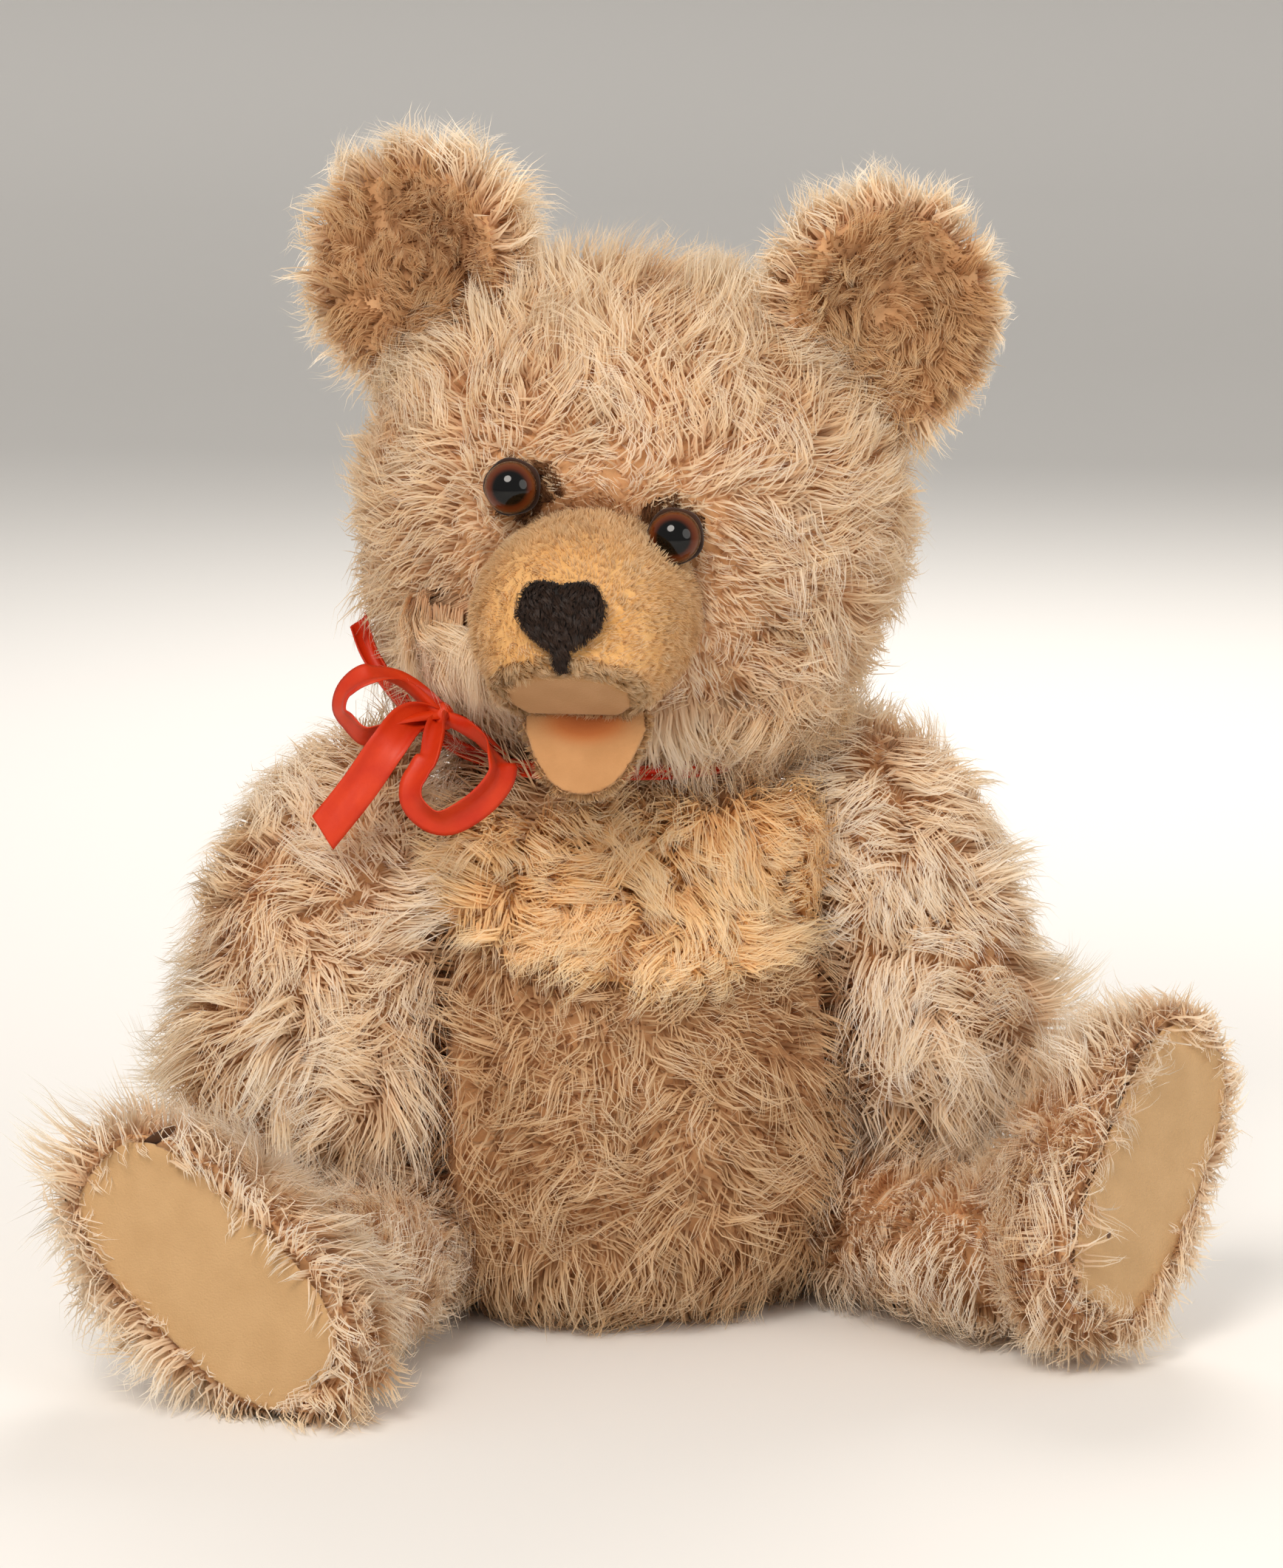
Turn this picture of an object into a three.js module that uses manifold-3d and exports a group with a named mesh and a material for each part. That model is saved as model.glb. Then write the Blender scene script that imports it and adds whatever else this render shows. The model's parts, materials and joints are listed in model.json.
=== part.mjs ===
// Threadbare teddy bear, seated: long-pile mohair over firm stuffing, with five disc joints.
// Millimetres, +Z up. The origin is the middle of the seat, the bear faces -Y, its left is +X.
// A coat's solid reaches to the middle of the pile, and locks of pile are staggered tiers on it.

import * as THREE from "three";
import { mergeVertices } from "three/addons/utils/BufferGeometryUtils.js";
import Module from "manifold-3d";

const wasm = await Module();
wasm.setup();

// Fits
const touchGap = 0.3;
const jointGap = 0.6;
const boreClearance = 0.5;
const seatOverlap = 6;
const pocketClearance = 0.6;

// Torso
const torsoHeight = 178;
const bellyHalfWidth = 76;
const bellyFront = 76;
const bellyBack = 64;
const torsoPile = 5;
// height, half-width, front and back, as shares of the four sizes above
const torsoProfile = [
  [0.0, 0.6, 0.55, 0.62],
  [0.09, 0.86, 0.84, 0.88],
  [0.24, 0.98, 0.98, 0.99],
  [0.4, 1.0, 1.0, 1.0],
  [0.58, 0.96, 0.92, 0.96],
  [0.74, 0.92, 0.78, 0.88],
  [0.86, 0.92, 0.66, 0.8],
  [0.94, 0.76, 0.54, 0.7],
  [1.0, 0.46, 0.4, 0.5],
];

// Chest panel
const bibLow = 112;
const bibHigh = 164;
const bibHalfTurn = 54;
const bibEdgeRise = 22;
const bibThickness = 6;
const bibStand = 2;

// Disc joints
const coatWall = 2.5;
const discRadius = 17;
const discThickness = 3;
const washerRadius = 7;
const washerThickness = 1;
const pinRadius = 1.6;
const pinEyeRadius = 3.4;
const pinEyeWire = 1.2;
const pinCurlRadius = 3;
const pocketDepth = 15;

// Neck and head
const headTurn = -20;
const headTilt = 5;
const headHalfWidth = 84;
const headHalfDepth = 76;
const headHalfHeight = 76;
const headCentreBack = 5;
const headCentreUp = 75;
const cheekFullness = 0.07;
const headPile = 5;

// Ears
const earRadius = 36;
const earThickness = 18;
const earHollow = 7;
const earSpread = 73;
const earUp = 144;
const earBack = 2;
const earOutwardTurn = 24;
const earPile = 3.5;

// Snout
const muzzleHalfWidth = 35.5;
const muzzleHalfHeight = 33;
const muzzleBluntness = 2.9;
const muzzleTip = -124;
const muzzleRoot = -62;
const muzzleUp = 51.5;
const muzzleAcross = 2.5;
const muzzleTilt = 1;

// Nose
const noseWidth = 26;
const noseHeight = 20;
const noseStem = 6;
const noseThickness = 2.4;
const noseUp = 59;
const noseAcross = 3.5;
const stitchPitch = 3;
const stitchGroove = 0.5;

// Open mouth
const lipFront = -122;
const lipUp = 41;
const foldFront = -98;
const foldUp = 25;
const jawLength = 24.3;
const jawRoot = 6;
const jawAcross = 7;
const jawWidth = 45;
const jawNarrowing = 0.53;
const jawLean = 26;
const jawDepth = 15;
const jawRim = 1.6;
const feltThickness = 1.4;

// Eyes
const eyeRadius = 8;
const eyeDepthShare = 0.8;
const rightEye = [-19.5, -74, 90.5];
const leftEye = [30.6, -75.5, 76.5];
const shankRadius = 3;
const shankWire = 0.6;

// Arms
const shoulderAcross = 62;
const shoulderBack = 5;
const shoulderUp = 147;
const armTilt = 10;
const armLean = 18;
const armTop = 27;
const armReach = 96;
const armBreadth = 30.5;
const armThickness = 64;
const armPile = 5;
const pawPadLength = 40;
const pawPadWidth = 30;

// Legs
const hipAcross = 52;
const hipBack = 5;
const hipUp = 27;
const hipTilt = 15;
const legSplay = 22;
const legLength = 139;
const thighRadius = 26;
const thighThickness = 54;
const ankleShare = 0.86;
const legPile = 4.5;

// Feet
const footHalfLength = 56;
const footHalfWidth = 30;
const footDepth = 52;
const rightFootUp = 42;
const leftFootUp = 59;
const footOutward = 20.5;
const footSplay = 32;
const rightFootRoll = 51;
const leftFootRoll = 36;
const footLeanBack = 6;
const solePadHalfLength = 47.5;
const solePadHalfWidth = 23;
const solePadSquareness = 3.1;
const soleRecess = 4;
const seamOpeningLength = 14;
const seamOpeningWidth = 3;

// Ribbon
const ribbonWidth = 11;
const ribbonThickness = 0.6;
const collarRadius = 46;
const collarBand = 5.4;
const collarDrop = 1.5;
const collarThickness = 2;
const knotRadius = 4.5;

const right = new THREE.Vector3(1, 0, 0);
const back = new THREE.Vector3(0, 1, 0);
const up = new THREE.Vector3(0, 0, 1);

const bear = new THREE.Group();

function radians(degrees) {
  return THREE.MathUtils.degToRad(degrees);
}

function finish(color, roughness, metalness = 0) {
  return new THREE.MeshStandardMaterial({ color, roughness, metalness });
}

const mohair = () => finish(0xd9b48a, 1);
const goldenMohair = () => finish(0xe2b878, 1);
const clippedMohair = () => finish(0xd8b27c, 0.95);
const felt = () => finish(0xd9ac6b, 0.95);
const floss = () => finish(0x1f1613, 0.7);
const glass = () => finish(0x7a3510, 0.08);
const wire = () => finish(0x8b8d90, 0.35, 1);
const steel = () => finish(0xa3a5a8, 0.4, 1);
const fibreboard = () => finish(0x8a6a48, 0.9);
const satin = () => finish(0xd9300c, 0.4);

// Solids and booleans

function signedVolume(positions, index) {
  const a = new THREE.Vector3();
  const b = new THREE.Vector3();
  const c = new THREE.Vector3();
  let volume = 0;
  for (let i = 0; i < index.length; i += 3) {
    a.fromArray(positions, index[i] * 3);
    b.fromArray(positions, index[i + 1] * 3);
    c.fromArray(positions, index[i + 2] * 3);
    volume += a.dot(b.cross(c)) / 6;
  }
  return volume;
}

function solid(geometry) {
  const bare = new THREE.BufferGeometry();
  bare.setAttribute("position", geometry.getAttribute("position"));
  bare.setIndex(geometry.getIndex());
  const welded = mergeVertices(bare, 1e-4);
  const vertProperties = new Float32Array(welded.getAttribute("position").array);
  const triVerts = new Uint32Array(welded.getIndex().array);
  if (signedVolume(vertProperties, triVerts) < 0) {
    for (let i = 0; i < triVerts.length; i += 3) {
      [triVerts[i + 1], triVerts[i + 2]] = [triVerts[i + 2], triVerts[i + 1]];
    }
  }
  return new wasm.Manifold(new wasm.Mesh({ numProp: 3, vertProperties, triVerts }));
}

function shell(body) {
  const mesh = body.getMesh();
  const geometry = new THREE.BufferGeometry();
  geometry.setAttribute("position", new THREE.BufferAttribute(mesh.vertProperties, 3));
  geometry.setIndex(new THREE.BufferAttribute(mesh.triVerts, 1));
  return geometry;
}

function largest(body) {
  return body.decompose().sort((a, b) => b.volume() - a.volume())[0];
}

function place(parent, name, body, material) {
  const mesh = new THREE.Mesh(shell(body), material);
  mesh.name = name;
  parent.add(mesh);
  return mesh;
}

function moved(geometry, matrix) {
  return geometry.clone().applyMatrix4(matrix);
}

// A closed skin over rings of equal count, each end closed by a fan onto its middle
function loft(rings) {
  const count = rings[0].length;
  const points = rings.flat();
  const index = [];
  for (let i = 0; i < rings.length - 1; i += 1) {
    for (let j = 0; j < count; j += 1) {
      const a = i * count + j;
      const b = i * count + ((j + 1) % count);
      index.push(a, b, b + count, a, b + count, a + count);
    }
  }
  for (const [ring, first] of [[rings[0], 0], [rings.at(-1), (rings.length - 1) * count]]) {
    const middle = new THREE.Vector3();
    ring.forEach((point) => middle.addScaledVector(point, 1 / count));
    points.push(middle);
    const apex = points.length - 1;
    for (let j = 0; j < count; j += 1) {
      const a = first + j;
      const b = first + ((j + 1) % count);
      index.push(...(first === 0 ? [apex, b, a] : [apex, a, b]));
    }
  }
  const geometry = new THREE.BufferGeometry().setFromPoints(points);
  geometry.setIndex(index);
  return geometry;
}

// A sheet between two surfaces over the same grid, closed round its edge
function slab(inner, outer, columns, rows) {
  const points = [];
  const index = [];
  for (const surface of [inner, outer]) {
    for (let i = 0; i <= rows; i += 1) {
      for (let j = 0; j <= columns; j += 1) {
        points.push(surface(j / columns, i / rows));
      }
    }
  }
  const layer = (columns + 1) * (rows + 1);
  const quad = (a, b, c, d) => index.push(a, b, c, a, c, d);
  const at = (i, j) => i * (columns + 1) + j;
  for (let i = 0; i < rows; i += 1) {
    for (let j = 0; j < columns; j += 1) {
      quad(at(i, j), at(i + 1, j), at(i + 1, j + 1), at(i, j + 1));
      quad(layer + at(i, j), layer + at(i, j + 1), layer + at(i + 1, j + 1), layer + at(i + 1, j));
    }
  }
  for (let j = 0; j < columns; j += 1) {
    quad(at(0, j), at(0, j + 1), layer + at(0, j + 1), layer + at(0, j));
    quad(at(rows, j + 1), at(rows, j), layer + at(rows, j), layer + at(rows, j + 1));
  }
  for (let i = 0; i < rows; i += 1) {
    quad(at(i + 1, 0), at(i, 0), layer + at(i, 0), layer + at(i + 1, 0));
    quad(at(i, columns), at(i + 1, columns), layer + at(i + 1, columns), layer + at(i, columns));
  }
  const geometry = new THREE.BufferGeometry().setFromPoints(points);
  geometry.setIndex(index);
  return geometry;
}

// Pile: staggered tiers of locks, each lifting towards its tip and dropping to the next

function lockLift(column, share, tiers, pile) {
  const crest = column % 2 === 0 ? 1 : 0.3;
  const stagger = (Math.floor(column / 2) % 2) * 0.5;
  const phase = (share * tiers + stagger) % 1;
  const fade = Math.min(1, 7 * share, 7 * (1 - share));
  return pile * fade * (crest * phase - 0.45);
}

function roundness(angle, power) {
  const c = Math.abs(Math.cos(angle));
  const s = Math.abs(Math.sin(angle));
  return (c ** power + s ** power) ** (-1 / power);
}

// A coat: section(share) gives a ring's centre, its two axes and its reach along each.
// Rings crowd towards rounded ends. A quiet coat has no locks on the side that meets the body.
function coat({ section, tiers, locks, pile, grow = 0, power = 2.2, roundEnds, quiet }) {
  const steps = tiers * 4;
  const rings = [];
  for (let i = 0; i <= steps; i += 1) {
    const even = i / steps;
    const cut = section(roundEnds ? (1 - Math.cos(Math.PI * even)) / 2 : even);
    const ring = [];
    for (let column = 0; column < locks * 2; column += 1) {
      const angle = (column / (locks * 2)) * Math.PI * 2;
      const reach = roundness(angle, power);
      const across = Math.cos(angle) * reach;
      const along = Math.sin(angle) * reach;
      const loud = quiet ? THREE.MathUtils.clamp(1 + 2.5 * along, 0, 1) : 1;
      const lift = lockLift(column, even, tiers, pile) * loud + grow;
      const width = across > 0 ? cut.wide[0] : cut.wide[1];
      const height = along > 0 ? cut.high[0] : cut.high[1];
      ring.push(cut.centre.clone()
        .addScaledVector(cut.across, across * Math.max(width + lift, 0.5))
        .addScaledVector(cut.along, along * Math.max(height + lift, 0.5)));
    }
    rings.push(ring);
  }
  return loft(rings);
}

// Smooth rounding of a coat's reach towards its two ends
function bulge(share, blunt = 2.4) {
  const x = Math.abs(2 * share - 1);
  return Math.max(1 - x ** blunt, 0) ** (1 / blunt);
}

// Joint frames: Z points out of the body into the limb, X runs along the limb at rest

function frameOf(origin, outward, along) {
  const z = outward.clone().normalize();
  const x = along.clone().addScaledVector(z, -along.dot(z)).normalize();
  const y = new THREE.Vector3().crossVectors(z, x);
  return new THREE.Matrix4().makeBasis(x, y, z).setPosition(origin);
}

function shoulderFrame(side) {
  const tilt = radians(armTilt);
  const lean = radians(armLean);
  const outward = new THREE.Vector3(side * Math.cos(tilt), 0, Math.sin(tilt));
  const down = new THREE.Vector3(side * Math.sin(tilt), 0, -Math.cos(tilt));
  const along = down.multiplyScalar(Math.cos(lean)).addScaledVector(back, -Math.sin(lean));
  return frameOf(new THREE.Vector3(side * shoulderAcross, -shoulderBack, shoulderUp), outward, along);
}

function hipFrame(side) {
  const tilt = radians(hipTilt);
  const outward = new THREE.Vector3(side * Math.cos(tilt), Math.sin(tilt), 0);
  const along = new THREE.Vector3(side * Math.sin(tilt), -Math.cos(tilt), 0);
  return frameOf(new THREE.Vector3(side * hipAcross, -hipBack, hipUp), outward, along);
}

function neckFrame() {
  return frameOf(new THREE.Vector3(0, 0, torsoHeight), up, back.clone().negate());
}

const joints = {
  neck: neckFrame(),
  shoulder_right: shoulderFrame(-1),
  shoulder_left: shoulderFrame(1),
  hip_right: hipFrame(-1),
  hip_left: hipFrame(1),
};

function groupAt(matrix) {
  const group = new THREE.Group();
  group.applyMatrix4(matrix);
  bear.add(group);
  return group;
}

// Cutters of a disc joint, in its own frame

function halfSpace(sign) {
  const size = 600;
  const box = new THREE.BoxGeometry(size, size, size);
  return box.translate(0, 0, sign * (size / 2 + jointGap / 2));
}

function cylinder(radius, low, high, sides = 24) {
  const column = new THREE.CylinderGeometry(radius, radius, high - low, sides);
  return column.rotateX(Math.PI / 2).translate(0, 0, (low + high) / 2);
}

function pocket(sign) {
  const near = jointGap / 2 + coatWall;
  const far = near + pocketDepth;
  const room = cylinder(discRadius + pocketClearance, Math.min(sign * near, sign * far),
    Math.max(sign * near, sign * far));
  const bore = cylinder(pinRadius + boreClearance, Math.min(0, sign * (near + 1)),
    Math.max(0, sign * (near + 1)), 12);
  return solid(room).add(solid(bore));
}

function transformed(body, matrix) {
  return solid(moved(shell(body), matrix));
}

// Disc joint hardware

function ring(inner, outer, low, high, sides) {
  const profile = [
    new THREE.Vector2(inner, low),
    new THREE.Vector2(outer, low),
    new THREE.Vector2(outer, high),
    new THREE.Vector2(inner, high),
    new THREE.Vector2(inner, low),
  ];
  return solid(new THREE.LatheGeometry(profile, sides).rotateX(Math.PI / 2));
}

// One half of the split pin: a half-round leg, then a curl outwards
function pinLeg(side, start, bend) {
  const section = [];
  for (let k = 0; k <= 3; k += 1) {
    const angle = (k / 3) * Math.PI;
    section.push([Math.sin(angle) * pinRadius, Math.cos(angle) * pinRadius]);
  }
  const split = 0.1;
  const stations = [{ out: 0, high: start, turn: 0 }];
  const curlSteps = 3;
  for (let k = 0; k <= curlSteps; k += 1) {
    const turn = (k / curlSteps) * Math.PI * 0.75;
    stations.push({
      out: pinCurlRadius * (1 - Math.cos(turn)),
      high: bend - pinCurlRadius * Math.sin(turn),
      turn,
    });
  }
  const rings = stations.map(({ out, high, turn }) => section.map(([depth, width]) => {
    const x = out + (split + depth) * Math.cos(turn);
    const z = high + (split + depth) * Math.sin(turn);
    return new THREE.Vector3(side * x, width, z);
  }));
  return solid(loft(rings));
}

function cotterPin() {
  const seat = jointGap / 2 + coatWall + touchGap + discThickness + touchGap + washerThickness;
  const eyeCentre = seat + touchGap + pinEyeRadius + pinEyeWire;
  const eye = new THREE.TorusGeometry(pinEyeRadius, pinEyeWire, 4, 8).rotateX(Math.PI / 2);
  const start = eyeCentre - pinEyeRadius;
  const bend = -(seat + touchGap + pinRadius * 2);
  const shaft = cylinder(pinRadius, start - 2, start, 8);
  return solid(eye.translate(0, 0, eyeCentre)).add(solid(shaft))
    .add(pinLeg(1, start - 1, bend)).add(pinLeg(-1, start - 1, bend));
}

function discJoint(name, matrix) {
  const group = groupAt(matrix);
  const disc = jointGap / 2 + coatWall + touchGap;
  const washer = disc + discThickness + touchGap;
  const bore = pinRadius + boreClearance;
  const plate = (low, high) => ring(bore, discRadius, low, high, 14);
  const seat = (low, high) => ring(bore, washerRadius, low, high, 8);
  place(group, `${name}_body_disc`, plate(-disc - discThickness, -disc), fibreboard());
  place(group, `${name}_limb_disc`, plate(disc, disc + discThickness), fibreboard());
  place(group, `${name}_body_washer`, seat(-washer - washerThickness, -washer), steel());
  place(group, `${name}_limb_washer`, seat(washer, washer + washerThickness), steel());
  place(group, `${name}_cotter_pin`, cotterPin(), steel());
}

Object.entries(joints).forEach(([name, matrix]) => discJoint(name, matrix));

// Torso

const torsoCurve = new THREE.CubicInterpolant(
  torsoProfile.map((row) => row[0]),
  torsoProfile.flatMap((row) => row.slice(1)),
  3,
);

function torsoSection(share) {
  const [wide, front, rear] = torsoCurve.evaluate(share);
  return {
    centre: new THREE.Vector3(0, 0, share * torsoHeight - (jointGap / 2) * share),
    across: right,
    along: back,
    wide: [wide * bellyHalfWidth, wide * bellyHalfWidth],
    high: [rear * bellyBack, front * bellyFront],
  };
}

function torsoSurface(turn, height, grow) {
  const cut = torsoSection(height / torsoHeight);
  const angle = radians(turn);
  const reach = roundness(angle, 2.2);
  return new THREE.Vector3(
    Math.sin(angle) * reach * (cut.wide[0] + grow),
    -Math.cos(angle) * reach * (cut.high[1] + grow),
    height,
  );
}

function bibBody(inner, outer, margin, pile) {
  const columns = 14;
  const rows = 8;
  const turnAt = (u) => (2 * u - 1) * (bibHalfTurn + margin);
  const heightAt = (u, v) => {
    const drop = bibEdgeRise * (2 * u - 1) ** 2;
    return bibLow - margin + drop + (bibHigh - bibLow + 2 * margin - drop) * v;
  };
  const edge = (u, v) => Math.min(1, 6 * Math.min(u, 1 - u), 6 * Math.min(v, 1 - v));
  return solid(slab(
    (u, v) => torsoSurface(turnAt(u), heightAt(u, v), inner),
    (u, v) => {
      const lift = lockLift(Math.round(u * columns), 1 - v, rows / 4, pile) * edge(u, v);
      return torsoSurface(turnAt(u), heightAt(u, v), outer + lift);
    },
    columns, rows,
  ));
}

const bibSink = bibThickness - bibStand;
let torso = solid(coat({ section: torsoSection, tiers: 6, locks: 14, pile: torsoPile }));
torso = torso.subtract(bibBody(-bibSink, 8 * torsoPile, touchGap, 0));
for (const [name, matrix] of Object.entries(joints)) {
  if (name !== "neck") {
    torso = torso.subtract(solid(moved(halfSpace(1).translate(0, 0, -jointGap), matrix)));
  }
  torso = torso.subtract(transformed(pocket(-1), matrix));
}
place(bear, "torso_coat", largest(torso), mohair());

let bib = bibBody(-bibSink + touchGap, bibThickness - bibSink, 0, torsoPile);
for (const side of ["shoulder_right", "shoulder_left"]) {
  bib = bib.subtract(solid(moved(halfSpace(1).translate(0, 0, -jointGap), joints[side])));
}
place(bear, "chest_bib", largest(bib), goldenMohair());

// Head, in the neck's place: x to the bear's left, y back, z up

const headPlace = new THREE.Matrix4().makeRotationZ(radians(headTurn))
  .setPosition(0, 0, torsoHeight);
const headGroup = groupAt(headPlace);
const tilted = new THREE.Matrix4().makeRotationY(radians(headTilt));

function headSection(share) {
  const swell = Math.sqrt(Math.max(1 - (2 * share - 1) ** 2, 0.0009));
  const depth = headCentreBack - headHalfDepth + 2 * headHalfDepth * share;
  return {
    centre: new THREE.Vector3(0, depth, headCentreUp).applyMatrix4(tilted),
    across: right.clone().applyMatrix4(tilted),
    along: up.clone().applyMatrix4(tilted),
    wide: [headHalfWidth * swell, headHalfWidth * swell],
    high: [headHalfHeight * swell, headHalfHeight * swell * (1 + cheekFullness)],
  };
}

function headBody(grow) {
  return solid(coat({
    section: headSection, tiers: 5, locks: 16, pile: headPile, grow, power: 2.1, roundEnds: true,
  }));
}

function neckCut() {
  return solid(halfSpace(-1).translate(0, 0, jointGap));
}

// Snout: an upright egg whose mouth is one slanting cut, level from side to side

const snoutPlace = new THREE.Matrix4().makeRotationY(radians(muzzleTilt));

function snoutSection(even, grow) {
  const share = 1 - Math.cos((even * Math.PI) / 2);
  const round = Math.max(1 - (1 - share) ** muzzleBluntness, 0.0004) ** (1 / muzzleBluntness);
  const depth = muzzleTip - grow + (muzzleRoot - muzzleTip + 2 * grow) * share;
  return {
    centre: new THREE.Vector3(muzzleAcross, depth, muzzleUp).applyMatrix4(snoutPlace),
    across: right,
    along: up,
    wide: [muzzleHalfWidth * round, muzzleHalfWidth * round],
    high: [muzzleHalfHeight * round, muzzleHalfHeight * round],
  };
}

function snoutBody(grow) {
  const section = (share) => snoutSection(share, grow);
  return solid(coat({ section, tiers: 2, locks: 13, pile: 0, grow, power: 2 }));
}

// Prism over an outline in the y-z plane, running the snout's full width
function sideways(outline, halfWidth) {
  const shape = new THREE.Shape(outline.map(([y, z]) => new THREE.Vector2(y, z)));
  const prism = new THREE.ExtrudeGeometry(shape, { depth: 2 * halfWidth, bevelEnabled: false });
  const turn = new THREE.Matrix4().makeBasis(back, up, right).setPosition(-halfWidth, 0, 0);
  return prism.applyMatrix4(turn);
}

const palate = new THREE.Vector2(lipFront - foldFront, lipUp - foldUp).normalize();
const palateDown = new THREE.Vector2(palate.y, -palate.x);
if (palateDown.y > 0) {
  palateDown.negate();
}
const jawDown = new THREE.Vector2(-Math.sin(radians(jawLean)), -Math.cos(radians(jawLean)));
const jawFront = new THREE.Vector2(jawDown.y, -jawDown.x);

// Everything below the roof of the mouth, moved down by drop
function belowPalate(drop) {
  const reach = 2.4 * headHalfWidth;
  const start = [foldFront + palateDown.x * drop, foldUp + palateDown.y * drop];
  const outline = [
    [start[0] - palate.x * reach, start[1] - palate.y * reach],
    [start[0] + palate.x * reach, start[1] + palate.y * reach],
    [start[0] + palate.x * reach, start[1] + palate.y * reach - 2 * reach],
    [start[0] - palate.x * reach, start[1] - palate.y * reach - 2 * reach],
  ];
  return solid(sideways(outline, reach));
}

// Jaw: a tongue-shaped outline, widest at the fold, that narrows evenly to a round tip.
// Its root runs up behind the roof of the mouth.
function jawOutline(rim, steps = 18) {
  const half = jawWidth / 2 + rim;
  const long = jawLength + jawRoot + 2 * rim;
  const points = [];
  for (let k = 0; k < steps; k += 1) {
    const angle = (k / steps) * Math.PI * 2;
    const reach = roundness(angle, 3);
    const down = (1 - Math.sin(angle) * reach) / 2;
    const narrow = 1 - jawNarrowing * down;
    points.push([Math.cos(angle) * reach * half * narrow, -jawRoot - rim + long * down]);
  }
  return points;
}

function jawPoint([across, down], front) {
  const y = foldFront + jawDown.x * down + jawFront.x * front;
  const z = foldUp + jawDown.y * down + jawFront.y * front;
  return new THREE.Vector3(jawAcross + across, y, z);
}

function jawSlice(rim, front, share = 1) {
  return jawOutline(rim).map(([across, down]) => jawPoint([across * share, down * share], front));
}

function jawBody(rim, low, high, backShare) {
  return solid(loft([
    jawSlice(rim, low, backShare),
    jawSlice(rim, (low + high) / 2, 1 - (1 - backShare) * 0.35),
    jawSlice(rim, high),
  ]));
}

const lining = feltThickness;
const jawTroughDepth = 1;
let jaw = jawBody(jawRim, -jawDepth, lining, 0.62)
  .subtract(jawBody(touchGap, -jawTroughDepth - touchGap, 2 * lining, 1));
const jawLining = jawBody(0, -jawTroughDepth, lining - jawTroughDepth, 1);

// Eyes sit in sockets, each on a wire loop in a narrow pocket behind it

function eyeBody([x, y, z], grow) {
  const ball = new THREE.SphereGeometry(eyeRadius + grow, 14, 9).rotateX(Math.PI / 2);
  return solid(ball.scale(1, (eyeRadius * eyeDepthShare + grow) / (eyeRadius + grow), 1)
    .translate(x, y, z));
}

function shankBody([x, y, z]) {
  const loop = new THREE.TorusGeometry(shankRadius, shankWire, 4, 8).rotateY(Math.PI / 2);
  const behind = eyeRadius * eyeDepthShare + touchGap + shankRadius + shankWire;
  return solid(loop.translate(x, y + behind, z));
}

function socket(at) {
  const [x, y, z] = at;
  const depth = eyeRadius * eyeDepthShare + 2 * (shankRadius + shankWire) + 3 * touchGap;
  const hole = cylinder(shankRadius + shankWire + touchGap, 0, depth, 12).rotateX(-Math.PI / 2);
  return eyeBody(at, touchGap).add(solid(hole.translate(x, y, z)));
}

const sockets = socket(rightEye).add(socket(leftEye));

// Nose: a shield with a slight dip in its top edge and a short stem, in upright stitches

function noseOutline() {
  const half = noseWidth / 2;
  const high = noseHeight / 2;
  const side = [
    [0.3, 1.04, 0.58, 0.98], [0.86, 0.92, 0.95, 0.42], [1.06, 0, 0.88, -0.3],
    [0.66, -0.7, 0.2, -1],
  ];
  const foot = -high - noseStem;
  const shape = new THREE.Shape();
  shape.moveTo(0, high * 0.88);
  side.forEach(([u, v, x, y]) => shape.quadraticCurveTo(u * half, v * high, x * half, y * high));
  shape.lineTo(half * 0.15, foot);
  shape.lineTo(-half * 0.15, foot);
  shape.lineTo(-half * 0.2, -high);
  for (let k = side.length - 1; k >= 0; k -= 1) {
    const [u, v] = side[k];
    const [x, y] = k > 0 ? side[k - 1].slice(2) : [0, 0.88];
    shape.quadraticCurveTo(-u * half, v * high, -x * half, y * high);
  }
  return shape;
}

function noseBody() {
  const prism = new THREE.ExtrudeGeometry(noseOutline(), {
    depth: 40, curveSegments: 3, bevelEnabled: false,
  });
  prism.rotateX(Math.PI / 2).translate(noseAcross, muzzleTip + 30, noseUp);
  let nose = solid(prism).intersect(snoutBody(noseThickness)).subtract(snoutBody(touchGap));
  const stitches = Math.floor(noseWidth / stitchPitch / 2);
  const bottom = snoutBody(noseThickness - stitchGroove * 1.4);
  for (let k = -stitches; k <= stitches; k += 1) {
    const groove = new THREE.BoxGeometry(stitchGroove, -muzzleTip / 2, noseHeight * 2);
    groove.translate(noseAcross + (k + 0.5) * stitchPitch, muzzleTip, noseUp);
    nose = nose.subtract(solid(groove).subtract(bottom));
  }
  return largest(nose);
}

let muzzle = snoutBody(0).subtract(belowPalate(0)).subtract(sockets);
const roof = snoutBody(-2 * touchGap).intersect(belowPalate(touchGap)).subtract(belowPalate(touchGap + lining));
const mouthRoof = largest(roof.subtract(jawBody(jawRim + touchGap, -jawDepth, lining + touchGap, 1)));
muzzle = muzzle.subtract(jawBody(jawRim + touchGap, -jawDepth, lining, 1));

// Ears: shallow cups of two panels, sewn across the head's upper corners

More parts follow.
